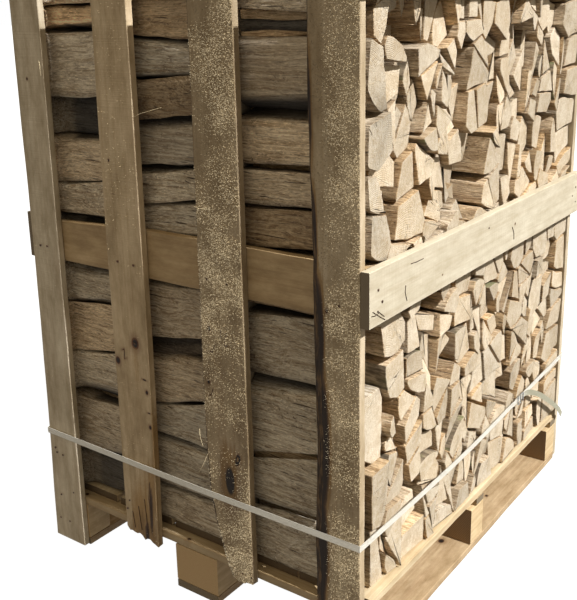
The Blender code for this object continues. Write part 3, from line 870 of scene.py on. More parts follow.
for height in ("middle", "top"):
    for side in ("front", "back"):
        worn = (side, height) == ("front", "middle")
        edges = (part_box(f"rail_{side}_{height}")[0][2], WORN_RAIL) if worn else None
        add_sawn_board(
            f"rail_{side}_{height}", SLAT_WOOD, "crate_wood", RAIL_SEED + len(side + height), RAIL_AXES,
            edges=edges, tone=0.80, warm=1.0,
        )
    for side in ("left", "right"):
        add_sawn_board(
            f"board_{side}_{height}", BOARD_WOOD, "crate_wood", BOARD_SEED + len(side + height), BOARD_AXES,
            knots=BOARD_KNOTS[height], tone=0.91, warm=0.05,
        )
print("rails and outer boards: 8")

# %% [markdown]
# ## How the logs are stacked
#
# The logs lie in three rows, and each row is cut up here just as in the solids: first into courses, by wavy
# lines, then into logs by slanting cracks, and some of those again. Where a crack meets a line the line has a
# ridge, as logs settle into the hollows between the ones below.

# %% Lines and cracks of a row
LOG_COURSES, LOG_COLUMNS = 7, 14
LOG_SIDE, LOG_TOP, LOG_FLOOR, LOG_NOTCH = 0.577, 1.575, 0.1722, 0.014
LOG_WIDTHS, CRACK_LEAN, TURNS_OVER = (0.75, 1.25), (0.004, 0.026), 0.8
CRACK_SPACING, CRACK_MARGIN = 0.011, 0.030
LINE_SWAY, SWAY_RATE, LINE_RIDGE, TOP_SAG, FRONT_DEPTH = (0.010, 0.022), 5.0, (0.006, 0.026), 0.045, 0.22
ROWS = {
    "right": {
        "seed": 11,
        "front": (0.335, 0.645, 0.815, 0.955, 1.145, 1.410),
        "pairs": (None, 0.475, None, None, 1.060, 1.240, 1.455),
    },
    "middle": {
        "seed": 5,
        "front": (0.425, 0.630, 0.820, 1.028, 1.210, 1.400),
        "pairs": (0.300, 0.515, 0.680, 0.943, 1.107, 1.317, 1.480),
    },
    "left": {
        "seed": 8,
        "front": (0.465, 0.570, 0.830, 0.962, 1.155, 1.410),
        "pairs": (0.289, None, 0.715, None, 1.050, 1.257, 1.452),
    },
}


def cut_joints(rng):
    """For each course, where each crack meets the line below and the line above."""
    joints = []
    for _ in range(LOG_COURSES):
        widths = [rng.uniform(*LOG_WIDTHS) for _ in range(LOG_COLUMNS)]
        scale = 2 * LOG_SIDE / sum(widths)
        y, side = -LOG_SIDE, rng.choice((-1, 1))
        course = []
        for width in widths[:-1]:
            y += width * scale
            lean = side * rng.uniform(*CRACK_LEAN)
            side = -side if rng.random() < TURNS_OVER else side
            course.append((y - lean, y + lean))
        joints.append(course)
    return joints


def bed_lines(rng, row, joints):
    """The lines between the courses, and which of their points are the feet and heads of cracks. At the front
    a line is where the row's table has it, and further in it sways."""
    lines, feet, heads = [], [], []
    for k in range(LOG_COURSES + 1):
        even = LOG_FLOOR + (LOG_TOP - LOG_FLOOR) * k / LOG_COURSES
        inside = 0 < k < LOG_COURSES
        front = row["front"][k - 1] if inside else even
        phase, sway = rng.uniform(0, math.tau), rng.uniform(*LINE_SWAY)
        marks = []
        if k < LOG_COURSES:
            marks += [(foot, "foot", j) for j, (foot, _) in enumerate(joints[k])]
        if k > 0:
            marks += [(head, "head", j) for j, (_, head) in enumerate(joints[k - 1])]
        line, foot_at, head_at = [], {}, {}
        previous = CRACK_MARGIN - LOG_SIDE
        for n, (y, kind, j) in enumerate(sorted(marks)):
            y = max(y, previous + CRACK_SPACING)
            y = min(y, LOG_SIDE - CRACK_MARGIN - CRACK_SPACING * (len(marks) - n))
            previous = y
            near_front = math.exp(-(((y + LOG_SIDE) / FRONT_DEPTH) ** 2))
            z = even + (front - even) * near_front
            if inside:
                z += sway * math.sin(phase + SWAY_RATE * y) * (1 - near_front)
                ridge = rng.uniform(*LINE_RIDGE)
                z += ridge if kind == "foot" else -ridge
            elif k == LOG_COURSES:
                z += rng.uniform(-TOP_SAG, 0.0)
            (foot_at if kind == "foot" else head_at)[j] = len(line) + 1
            line.append((y, z))
        tuck = LOG_NOTCH if k > 0 else 0.0
        back = even + (sway * math.sin(phase + SWAY_RATE * LOG_SIDE) if inside else 0.0)
        lines.append([(tuck - LOG_SIDE, front), *line, (LOG_SIDE - tuck, back)])
        feet.append(foot_at)
        heads.append(head_at)
    return lines, feet, heads


# %% Logs of a course
OUTER_WANDER, NARROW_LOG = 0.006, 0.034
WAYS, WAY_SHARES = ("whole", "across", "rising", "falling"), (0.28, 0.32, 0.20, 0.20)


def outer_side(rng, put, sign, low, high, parted):
    """The outer end of a course: one log, or two with a notch between them where it is parted."""

    def rounded(bottom, top):
        height = top - bottom
        return [
            put(sign * (LOG_SIDE - rng.uniform(0, OUTER_WANDER)), bottom + height * rng.uniform(0.06, 0.20)),
            put(sign * (LOG_SIDE - rng.uniform(0, OUTER_WANDER)), top - height * rng.uniform(0.06, 0.22)),
        ]

    if parted is None:
        return rounded(low, high), None
    under = rounded(low, parted)
    notch = put(sign * (LOG_SIDE - LOG_NOTCH), parted)
    return under + [notch] + rounded(parted, high), notch


def cut_course(rng, lower, upper, feet, heads, parted):
    """Cuts the space between two lines into the cells of its logs. Some are cut again: across, or from the
    foot of one crack up to the head of the next, or down from a head to a foot."""
    points = []

    def put(y, z):
        points.append((y, z))
        return len(points) - 1

    low = [put(y, z) for y, z in lower]
    high = [put(y, z) for y, z in upper]
    left, left_notch = outer_side(rng, put, -1, lower[0][1], upper[0][1], parted)
    z0, z1 = lower[-1][1], upper[-1][1]
    middle = z0 + (z1 - z0) * rng.uniform(0.4, 0.6) if rng.random() < 0.8 else None
    right, right_notch = outer_side(rng, put, 1, z0, z1, middle)
    last = len(feet)
    ways = [rng.choices(WAYS, WAY_SHARES)[0] for _ in range(last + 1)]
    ways[0] = "whole" if left_notch is None else "across"
    ways[last] = "whole" if right_notch is None else "across"
    knees = {}
    for j in range(last):
        if "across" in (ways[j], ways[j + 1]):
            (y0, z0), (y1, z1) = points[low[feet[j]]], points[high[heads[j]]]
            t = rng.uniform(0.36, 0.64)
            aside = rng.uniform(-OUTER_WANDER, OUTER_WANDER)
            knees[j] = put(y0 + (y1 - y0) * t + aside, z0 + (z1 - z0) * t)
    logs = []
    for c in range(last + 1):
        a, p = (0, 0) if c == 0 else (feet[c - 1], heads[c - 1])
        b, q = (len(low) - 1, len(high) - 1) if c == last else (feet[c], heads[c])
        up = right if c == last else [knees[c]] if c in knees else []
        down = left[::-1] if c == 0 else [knees[c - 1]] if c - 1 in knees else []
        loop = low[a:b + 1] + up + high[p:q + 1][::-1] + down
        narrow = min(points[low[b]][0] - points[low[a]][0], points[high[q]][0] - points[high[p]][0])
        if ways[c] == "across":
            start = left_notch if c == 0 else knees[c - 1]
            end = right_notch if c == last else knees[c]
        elif ways[c] == "whole" or narrow < NARROW_LOG:
            logs.append(loop)
            continue
        elif ways[c] == "rising":
            start, end = low[a], high[q]
        else:
            start, end = high[p], low[b]
        i, j = sorted((loop.index(start), loop.index(end)))
        logs += [loop[i:j + 1], loop[j:] + loop[:i + 1]]
    return [np.array([points[i] for i in loop]) for loop in logs]


def lay_row(row):
    rng = random.Random(row["seed"])
    joints = cut_joints(rng)
    lines, feet, heads = bed_lines(rng, row, joints)
    return [
        cut_course(rng, lines[k], lines[k + 1], feet[k], heads[k + 1], row["pairs"][k])
        for k in range(LOG_COURSES)
    ]


STACK = {name: lay_row(row) for name, row in ROWS.items()}
print("logs before splitting again:", {name: sum(map(len, courses)) for name, courses in STACK.items()})

# %% [markdown]
# The sawn ends are not in one plane. Most are within a few centimetres of it, a few lie deep, and one log
# stands proud. The logs along the hidden side of a row all reach the plane, and those in the near corner have
# a table of their own further on.

# %% How far out the ends are
LOG_END, LOG_END_SPREAD, LOG_END_DEEP, PROUD_END = 0.496, (0.020, 0.060), 0.436, 0.512
SHORT_LOGS = (
    (-0.31, 1.43), (-0.40, 1.28), (0.16, 1.40), (0.36, 1.30), (0.38, 1.06),
    (-0.07, 1.07), (-0.33, 1.04), (-0.17, 0.97), (-0.24, 0.62), (0.21, 0.52),
    (-0.49, 0.79), (-0.27, 0.71), (-0.47, 1.12), (0.05, 1.17), (-0.42, 1.44), (-0.46, 0.53), (-0.40, 0.35),
)
PROUD_LOG = (0.55, 1.20)
DEEPER, LEAST_FAR, MOST_DEEP = 0.030, 0.402, 0.045
SHORTER, UNEVEN = (0.014, 0.035), (0.42, 0.6)


def nearest_log(courses, spot):
    best = None
    for k, logs in enumerate(courses):
        for n, cell in enumerate(logs):
            away = math.hypot(*(cell.mean(axis=0) - spot))
            if best is None or away < best[0]:
                best = (away, k, n)
    return best[1:]


def end_reaches(name, courses, rng):
    reaches = []
    for k, logs in enumerate(courses):
        spread = LOG_END_SPREAD[k > LOG_COURSES // 2]
        reaches.append([LOG_END - spread * rng.random() ** 2.5 for _ in logs])
    hidden_side = -1 if name == "left" else 1
    for course, logs in zip(reaches, courses):
        for n, cell in enumerate(logs):
            if (hidden_side * cell[:, 0]).max() > LOG_SIDE - LOG_NOTCH:
                course[n] = LOG_END
    if name == "right":
        for spot in SHORT_LOGS:
            k, n = nearest_log(courses, spot)
            reaches[k][n] = LOG_END_DEEP
        k, n = nearest_log(courses, PROUD_LOG)
        reaches[k][n] = PROUD_END
    return reaches


def reach_of(k, m, reach, cuts):
    """How far out the end of one piece is. m counts the pieces that its log was split into."""
    shorter = SHORTER[k > LOG_COURSES // 2] * cuts.random() ** 3 if m else 0.0
    if reach == LOG_END_DEEP and not m:
        return reach - DEEPER
    reach = max(reach, LOG_END - MOST_DEEP)
    return max(LOG_END - UNEVEN[k > 2] * (LOG_END - reach) - shorter, LEAST_FAR)


# %% [markdown]
# ## One log
#
# A log starts as its cell of the layout. The cell is drawn in a few millimetres, so that dark gaps are left
# between neighbours, and its small kinks are dropped, because wood splits flat. One side may be the
# outside of the trunk: it is bowed out and gets bark. The rest of the corners are eased a little. The
# shape is then carried along the log through rings that wander by a millimetre or two.

# %% Cells
KEEN, BLUNT = (0.00015, 0.0004), 0.00006
SMALLEST = 0.0007
STOUT_AREA, STOUT_LENGTH, STOUT_SHORT = 0.0075, 0.155, 0.135


def area_of(cell):
    ahead = np.roll(cell, -1, 0)
    return 0.5 * float((cell[:, 0] * ahead[:, 1] - cell[:, 1] * ahead[:, 0]).sum())


def draw_in(cell, gap):
    """Moves every side of a cell in by gap."""
    ahead = np.roll(cell, -1, 0) - cell
    ahead /= np.linalg.norm(ahead, axis=1, keepdims=True)
    inward = np.stack([-ahead[:, 1], ahead[:, 0]], axis=1)
    before = np.roll(inward, 1, 0)
    turn = 1 + (inward * before).sum(axis=1, keepdims=True)
    return cell + gap * (inward + before) / np.maximum(turn, 0.35)


def drop_kinks(cell, keen, blunt):
    """Drops corners that barely show: keen is the largest area to cut off, blunt the largest to fill."""
    corners = list(cell)
    while len(corners) > 3:
        best = None
        for i, corner in enumerate(corners):
            a, b = corners[i - 1], corners[(i + 1) % len(corners)]
            area = 0.5 * ((corner[0] - a[0]) * (b[1] - a[1]) - (corner[1] - a[1]) * (b[0] - a[0]))
            score = abs(area) / (keen if area < 0 else blunt)
            if score < 1 and (best is None or score < best[0]):
                best = (score, i)
        if best is None:
            break
        corners.pop(best[1])
    return np.array(corners)


def cut_again(cell, rng, centre=None, turn=None):
    """Cuts a cell in two by a straight line, near its middle if nothing else is given."""
    centre = cell.mean(axis=0) if centre is None else centre
    turn = rng.uniform(0, math.pi) if turn is None else turn
    across = np.array([math.cos(turn), math.sin(turn)])
    offset = (cell - centre) @ across - rng.uniform(-0.006, 0.006)
    halves = ([], [])
    for i, point in enumerate(cell):
        j = (i + 1) % len(cell)
        halves[offset[i] > 0].append(point)
        if offset[i] * offset[j] < 0:
            crossing = point + (cell[j] - point) * offset[i] / (offset[i] - offset[j])
            halves[0].append(crossing)
            halves[1].append(crossing)
    halves = [np.array(half) for half in halves]
    if min(len(half) for half in halves) < 3 or min(abs(area_of(half)) for half in halves) < SMALLEST:
        return [cell]
    return halves


def split_up(cell, rng):
    """Splits a cell into stout pieces, as a long one splits across."""
    _, _, axes = np.linalg.svd(cell - cell.mean(axis=0))
    length, width = np.ptp(cell @ axes[0]), np.ptp(cell @ axes[1])
    small = abs(area_of(cell)) < STOUT_AREA and length < STOUT_LENGTH
    if small or length < 1.5 * width and length < STOUT_SHORT:
        return [cell]
    turn = math.atan2(axes[0][1], axes[0][0]) + rng.gauss(0, 0.5)
    halves = cut_again(cell, rng, turn=turn)
    if len(halves) < 2:
        return halves
    return [piece for half in halves for piece in split_up(half, rng)]


# %% Cross-section of a log
TRUNK_RADIUS, BOW_DEPTH, EASED_CORNER = (0.08, 0.14), (0.002, 0.015), (0.0008, 0.0022)


def section(cell, rng, step, gap, round_side, bark_side, exact):
    """Returns the points of the cross-section, which gaps between them are bark, and the trunk's middle."""
    if area_of(cell) < 0:
        cell = cell[::-1]
    keen, blunt = rng.uniform(*KEEN) * (0.1 if exact else 1.0), BLUNT * (0.3 if exact else 1.0)
    cell = drop_kinks(draw_in(cell, gap), keen, blunt)
    count = len(cell)
    ahead = np.roll(cell, -1, 0) - cell
    lengths = np.linalg.norm(ahead, axis=1)
    outward = np.stack([ahead[:, 1], -ahead[:, 0]], axis=1) / lengths[:, None]
    if bark_side is not None:
        arc = int(np.argmax(outward @ np.array(bark_side) * lengths))
    else:
        arc = rng.choice([i for i in range(count) if lengths[i] > 0.55 * lengths.max()])
    radius = rng.uniform(*TRUNK_RADIUS)
    sag = float(np.clip(lengths[arc] ** 2 / (8 * radius), *BOW_DEPTH)) if round_side else 0.0
    after = (arc + 1) % count

    def slide(corner, neighbour):
        away = neighbour - corner
        length = np.linalg.norm(away)
        sink = abs(away @ outward[arc]) / length
        return corner + away / length * min(sag / max(sink, 0.25), 0.4 * length)

    start, stop = slide(cell[arc], cell[arc - 1]), slide(cell[after], cell[(arc + 2) % count])
    corners = cell.copy()
    corners[arc], corners[after] = start, stop
    points, barked = [], []
    for i in range(count):
        here, there = corners[i], corners[(i + 1) % count]
        length = np.linalg.norm(there - here)
        ease = min(rng.uniform(*EASED_CORNER), 0.25 * length)
        way = (there - here) / length
        first, final = here + way * ease, there - way * ease
        for s in np.linspace(0, 1, max(1, round(length / step)) + 1):
            bow = outward[arc] * sag * 4 * s * (1 - s) if i == arc else 0.0
            points.append(first + (final - first) * s + bow)
            barked.append(i == arc and s < 1)
    middle = (start + stop) / 2 - outward[arc] * (radius - sag)
    return np.array(points), np.array(barked), middle


# %% [markdown]
# The outermost logs are seen between the front slats, so those are bent to the photograph's own edges. A log
# is painted darker deep in a gap and near its front edges, as painted shade. Deep behind the sawn ends it is
# painted darker too, and just behind an end its split faces are painted lighter, as painted light. Past the
# gaps that show, the logs swell out against the corner slats.

# %% Logs behind the front slats
SHOULDER, RAIL_LEVELS, RAIL_CLEAR = 0.599, (0.897, 1.550), 0.066
CORNER_FRONT, CORNER_ELSEWHERE, CORNER_END = 0.362, 0.425, 0.476


def fit_to_front(rings, cell, seen):
    """Bends the outer side of a front log so that its lower and upper edges are seen where a table says."""
    (x0, x1), (low0, low1), (high0, high1) = seen["span"], seen["low"], seen["high"]
    near = cell[cell[:, 0] < 0.02 - LOG_SIDE, 1]
    bottom, top = near.min(), near.max()
    along = np.clip((rings[..., 0] - x0) / (x1 - x0), -0.8, 1.8)
    low, high = low0 + (low1 - low0) * along, high0 + (high1 - high0) * along
    share = (rings[..., 2] - bottom) / (top - bottom)
    weight = rise(rings[..., 1], 0.050 - LOG_SIDE, -0.032) * rise(rings[..., 0], -0.450, 0.025)
    rings[..., 2] += weight * (low + share * (high - low) - rings[..., 2])
    depth = rings[..., 1] + LOG_SIDE
    rings[..., 1] += weight * seen["back"] - 0.75 * depth * rise(depth, 0.05, -0.036)
    return rings


def painted_gap_shade(rings, at_front, at_end):
    """Painted shade and light on a log: darker in gaps, at front edges and deep behind ends, lighter just
    behind.
    """
    x, inside = np.abs(rings[..., 0]), LOG_SIDE - np.abs(rings[..., 1])
    shade = np.ones_like(x)
    if at_front:
        z = rings[..., 2]
        outer = inside < inside.min() + 0.012
        under, over = rise(z, z[outer].min() + 0.022, -0.022), rise(z, z[outer].max() - 0.012, 0.012)
        # Painted shade at the front: darker towards the lower and upper edges, and deep in a gap.
        shade *= (1 - 0.45 * under ** 2) * (1 - 0.30 * over ** 2)
        shade -= 0.8 * rise(inside, 0.005, 0.020) * rise(x, 0.40, -0.03)
        shade = np.maximum(shade, 0.12)
    if at_end:
        # Painted shade deep behind the sawn ends, and painted light on the split faces just behind them.
        deep = rise(inside, 0.012, 0.02)
        shade *= (1 - 0.3 * rise(x, 0.484, -0.07) * deep) * (1 + 0.16 * rise(x, 0.488, -0.008) * deep)
    return shade


def press_out(rings):
    """Swells a log out against the corner slats, but not at a rail."""
    x, y, z = rings[..., 0], rings[..., 1], rings[..., 2]
    out, front_right = np.abs(y), (x > 0) & (y < 0)
    start = np.where(front_right, CORNER_FRONT, CORNER_ELSEWHERE)
    share = rise(np.abs(x), start, 0.02) * rise(out, 0.545, 0.015)
    share *= np.where(front_right, rise(x, CORNER_END, -0.014), 1)
    for rail in RAIL_LEVELS:
        share *= rise(np.abs(z - rail), RAIL_CLEAR, 0.012)
    rings[..., 1] += np.sign(y) * share * (SHOULDER - 0.25 * (LOG_SIDE - out) - out)
    return rings


# %% [markdown]
# The rings of a log are close together near an end that shows and further apart where other logs hide it.
# A split face is ribbed along the grain, so its relief changes fast across the log and slowly along it.
# The two sawn ends are a degree or two out of square.

# %% Rings of a log
SIDE_PLACES = np.sort([*np.linspace(0, 1, 17), 0.906, 0.97])
END_PLACES = np.array([0, 0.35, 0.6, 0.75, 0.86, 0.93, 0.98, 1])
HIDDEN_PLACES = np.array([0, 0.5, 1])
SIDE_STEP, END_STEP, HIDDEN_STEP = 0.008, 0.013, 0.03
GAP_VARIES, LIP, MOST_LEAN, WARM_INSIDE = (0.5, 1.9), 0.0012, 0.012, 0.75
RIB_DEPTH, WAVE_DEPTH, BARK_DEPTH, FRONT_ROUGHER = 0.0005, 0.0011, 0.0008, 1.7


def add_log(shell, cell, low, high, rng, looks):
    seen, way = looks["seen"], 1 if high > 0 else -1
    if looks["side"]:
        step, places = SIDE_STEP, SIDE_PLACES
    elif looks["end"]:
        step, places = END_STEP, END_PLACES if way > 0 else 1 - END_PLACES[::-1]
    else:
        step, places = HIDDEN_STEP, HIDDEN_PLACES
    has_bark = rng.random() < looks["bark"]
    round_side = has_bark or rng.random() < looks["round"]
    gap = looks["gap"] * rng.uniform(*GAP_VARIES)
    bark_side = looks["bark_side"] if has_bark else None
    points, barked, middle = section(cell, rng, step, gap, round_side, bark_side, looks["outer"])
    ahead = np.roll(points, -1, 0) - np.roll(points, 1, 0)
    ahead /= np.maximum(np.linalg.norm(ahead, axis=1, keepdims=True), 1e-6)
    outward = np.stack([ahead[:, 1], -ahead[:, 0]], axis=1)
    around = np.concatenate([[0], np.cumsum(np.linalg.norm(np.diff(points, axis=0), axis=1))])

    lip = LIP / (high - low)
    places = np.concatenate([[0, lip], places[1:-1], [1 - lip, 1]])
    ribs, waves = ripple(rng, 6, 0.012, 0.05), ripple(rng, 5, 0.06, 0.35)
    across, along = around[None, :], (low + (high - low) * places)[:, None]
    lift = RIB_DEPTH * ribs(across, along * 0.08) + WAVE_DEPTH * (waves(across, along) - 0.6)
    lift *= FRONT_ROUGHER if seen else 1.0
    lift = np.where(barked[None, :], lift * 0.8 + BARK_DEPTH * ribs(across * 0.7, along * 0.6), lift)
    lift -= np.where((places < 0.5 * lip) | (places > 1 - 0.5 * lip), LIP, 0.0)[:, None]
    yz = points[None] + outward[None] * lift[..., None]
    centre = points.mean(axis=0)
    yz = centre + (yz - centre) * (1 - 0.03 * rng.random() * np.abs(places - 0.5)[:, None, None])
    tilt = np.array([rng.gauss(0, looks["tilt"]), rng.gauss(0, looks["tilt"])])
    lean = np.clip((yz - centre) @ tilt, -MOST_LEAN, MOST_LEAN)
    near_end = rise(places * way, 0.8 if way > 0 else -0.2, 0.2)[:, None]
    x = along - way * (lean.max() - lean) * near_end
    rings = np.concatenate([x[..., None], yz], axis=2)
    if seen:
        rings = fit_to_front(rings, cell, seen)
    shade = painted_gap_shade(rings, seen, looks["end"])
    if looks["outer"]:
        rings = press_out(rings)

    seed = np.array([rng.uniform(-9, 9) for _ in range(3)])
    grey = min(max(rng.gauss(0.04, 0.16), 0.0), 0.9)
    lightness = rng.gauss(1.0, 0.09) * (seen["light"] if seen else 1.0)
    warm = min(max(rng.gauss(seen["brown"] if seen else WARM_INSIDE, 0.22), 0), 1)
    tint = np.empty_like(rings)
    tint[...] = lightness, warm, grey
    # Near its sawn end a front log takes an ordinary end's tint, without its front's painted light and shade.
    if seen:
        toward_sawn_end = rise(rings[..., :1], 0.455, 0.03)
        tint += toward_sawn_end * (np.array([rng.gauss(1.0, 0.06), 0.4, 0.0]) - tint)
    # Here the painted shade and light are laid on the lightness.
    tint[..., 0] *= shade
    shell.stack(rings, np.where(barked & has_bark, 2, 0), ([list(range(len(points)))], 1), {
        "seed": seed, "tint": tint, "pith": np.array([0.0, *middle]),
    })


# %% [markdown]
# ## All logs
#
# The two outer rows show their sawn ends, so their logs are split up again. The front log of each course
# follows a table where the photograph shows it between the slats. Its lightness there is partly painted:
# the logs set back in a recess are painted dark, as painted shade, and the top logs of the left and middle
# gaps are painted light, as painted sunlight.

# %% Front logs
FRONT_LIGHTNESS = {"left": 1.40, "middle": 1.14, "right": 1.36}
FRONT_SPANS = {"left": (-0.42, -0.27), "middle": (-0.125, 0.03), "right": (0.18, 0.345)}
# Columns: lower and upper edges at left and right, lightness, set-back, brownness; lightness holds painted
# shade and sunlight.
SEEN_IN_FRONT = {
    "left": {
        1: [(0.176, 0.187, 0.258, 0.289, 0.45, 0.02), (0.288, 0.314, 0.443, 0.453, 0.88, 0.0)],
        2: [(0.487, 0.505, 0.571, 0.598, 0.98, 0.0)],
        3: [(0.579, 0.604, 0.717, 0.734, 0.90, 0.0), (0.724, 0.742, 0.795, 0.811, 0.85, 0.004)],
        4: [(0.835, 0.835, 0.922, 0.932, 0.5, 0.02)],
        5: [(0.957, 0.964, 1.031, 1.051, 1.02, 0.0), (1.036, 1.056, 1.141, 1.154, 1.0, 0.002)],
        6: [(1.165, 1.168, 1.236, 1.246, 0.55, 0.03), (1.251, 1.258, 1.408, 1.411, 1.02, 0.0)],
        7: [(1.421, 1.431, 1.466, 1.466, 1.6, 0.0, 0.7), (1.475, 1.475, 1.570, 1.565, 1.8, 0.0, 0.5)],
    },
    "middle": {
        1: [(0.174, 0.174, 0.252, 0.259, 1.0, 0.0), (0.271, 0.275, 0.395, 0.395, 1.0, 0.0)],
        2: [(0.417, 0.411, 0.491, 0.535, 0.9, 0.0), (0.497, 0.541, 0.613, 0.648, 1.0, 0.0)],
        3: [(0.619, 0.654, 0.652, 0.684, 0.5, 0.02, 0.5), (0.672, 0.698, 0.813, 0.828, 0.88, 0.0, 0.25)],
        4: [(0.850, 0.850, 0.935, 0.935, 0.8, 0.0), (0.945, 0.954, 1.005, 1.027, 0.85, 0.0)],
        5: [(1.013, 1.036, 1.089, 1.108, 0.95, 0.0), (1.106, 1.119, 1.186, 1.204, 1.0, 0.0)],
        6: [(1.210, 1.230, 1.308, 1.320, 0.85, 0.0, 0.6), (1.312, 1.325, 1.396, 1.379, 1.0, 0.0)],
        7: [(1.404, 1.388, 1.506, 1.494, 1.05, 0.004, 0.8), (1.513, 1.503, 1.570, 1.570, 1.3, 0.0, 0.6)],
    },
    "right": {
        1: [(0.174, 0.174, 0.311, 0.320, 0.82, 0.0)],
        2: [(0.325, 0.330, 0.439, 0.482, 0.78, 0.0), (0.446, 0.491, 0.603, 0.634, 0.80, 0.0)],
        3: [(0.649, 0.655, 0.797, 0.815, 0.88, 0.005)],
        5: [(0.950, 0.962, 1.040, 1.051, 0.68, 0.006, 0.75), (1.045, 1.056, 1.127, 1.134, 1.02, 0.0)],
        6: [(1.136, 1.143, 1.231, 1.235, 1.0, 0.0, 0.3), (1.276, 1.289, 1.408, 1.406, 1.02, 0.0)],
        7: [(1.411, 1.409, 1.440, 1.436, 0.5, 0.02, 0.4), (1.460, 1.450, 1.506, 1.494, 1.05, 0.0)],
    },
}


def seen_log(name, low0, low1, high0, high1, light, back, brown=0.04):
    """A front log: the heights of its lower and upper edges at the left and the right of the gap where it is
    seen, how light it is, which is partly painted shade on the logs set back and painted sunlight on the top
    ones, how far back it lies, and how brown it is."""
    return {
        "span": FRONT_SPANS[name], "low": (low0, low1), "high": (high0, high1),
        "light": FRONT_LIGHTNESS[name] * light, "back": back, "brown": brown,
    }


def front_logs(name, k, logs):
    """The front logs of a course, if as many are seen as there are."""
    table = SEEN_IN_FRONT[name].get(k + 1, [])
    fronts = [n for n, cell in enumerate(logs) if cell[:, 0].min() < LOG_NOTCH - LOG_SIDE]
    if len(fronts) != len(table):
        return {}
    fronts.sort(key=lambda n: logs[n][:, 1].mean())
    return {n: seen_log(name, *row) for n, row in zip(fronts, table)}


print("front logs:", {name: sum(map(len, table.values())) for name, table in SEEN_IN_FRONT.items()})

# %% All logs
ROW_SIDES = {"right": 1, "middle": 0, "left": -1}
ROW_START, MIDDLE_END = 0.166, 0.164
CORNER_REACH = (0.470, 0.474, 0.415, 0.496, 0.497, 0.496, 0.472)
REACH_SEED, CUT_SEED = 100, 5
TIGHT_GAP, SEEN_GAP, WIDE_GAP, OUTER_TILT, INNER_TILT = 0.0005, 0.0012, 0.0026, 0.03, 0.07
NEAR_SIDE, NEAR_TOP, TIGHT_BELOW = 0.012, 0.05, -0.4
BARK_OUTSIDE, BARK_INSIDE, BARK_BEHIND, ROUND_INSIDE = 0.12, 0.22, 0.3, 0.35
FIRST_CUT, CUT_TURN = (0.036, 0.05), (-0.12, 0.12)


def looks_of(k, cell, side, seen):
    """How a log is made: the chances of bark and of a round side, and which of its surfaces can be seen."""
    outer = abs(cell[:, 0]).max() > LOG_SIDE - NEAR_SIDE
    high_up = k == LOG_COURSES - 1 and cell[:, 1].max() > LOG_TOP - NEAR_TOP
    tight = side < 0 and cell[:, 0].mean() < TIGHT_BELOW
    return {
        "side": outer or high_up, "end": side != 0, "outer": outer, "seen": seen,
        "gap": TIGHT_GAP if tight else SEEN_GAP if seen else WIDE_GAP,
        "bark": 0.0 if seen else BARK_OUTSIDE if outer else BARK_INSIDE,
        "round": 0.0 if seen else ROUND_INSIDE,
        "bark_side": (math.copysign(1, cell[:, 0].mean()), 0) if outer else None,
        "tilt": OUTER_TILT if outer else INNER_TILT,
    }


def add_stack():
    pieces = 0
    for name, courses in STACK.items():
        side = ROW_SIDES[name]
        rng, cuts = random.Random(ROWS[name]["seed"] + REACH_SEED), random.Random(CUT_SEED)
        reaches = end_reaches(name, courses, rng) if side else None
        for k, logs in enumerate(courses):
            shell = Shell()
            fronts = front_logs(name, k, logs)
            for n, cell in enumerate(logs):
                seen = fronts.get(n)
                looks = looks_of(k, cell, side, seen)
                parts = split_up(cell, cuts) if side and not seen else [cell]
                if side > 0 and seen:
                    centre = (cuts.uniform(*FIRST_CUT) - LOG_SIDE, 0)
                    parts = cut_again(cell, cuts, centre, cuts.uniform(*CUT_TURN))
                for m, part in enumerate(parts):
                    if m and seen:
                        looks = {**looks, "seen": None, "outer": False, "bark_side": None}
                        looks["bark"] = BARK_BEHIND
                    low, high = -MIDDLE_END, MIDDLE_END
                    if side:
                        reach = reach_of(k, m, reaches[k][n], cuts)
                        if side > 0 and seen and not m:
                            reach = CORNER_REACH[k]
                        low, high = (ROW_START, reach) if side > 0 else (-reach, -ROW_START)
                    add_log(shell, part, low, high, rng, looks)
                pieces += len(parts)
            node = f"logs_{name}_{k + 1}"
            shell.piece(f"{node}_split", [SPLIT_WOOD, CUT_END, BARK], node, "log_wood")
    print("pieces of wood:", pieces)


add_stack()

# %% [markdown]
# ## Small things that repeat or follow a path
#
# Nail heads, raised fibres, the strap and the buckle's wire are each made by a Geometry Nodes tree. A tree
# has named inputs, so the same one serves several pieces. Its result is turned into a plain mesh at once.

# %% Geometry Nodes helper


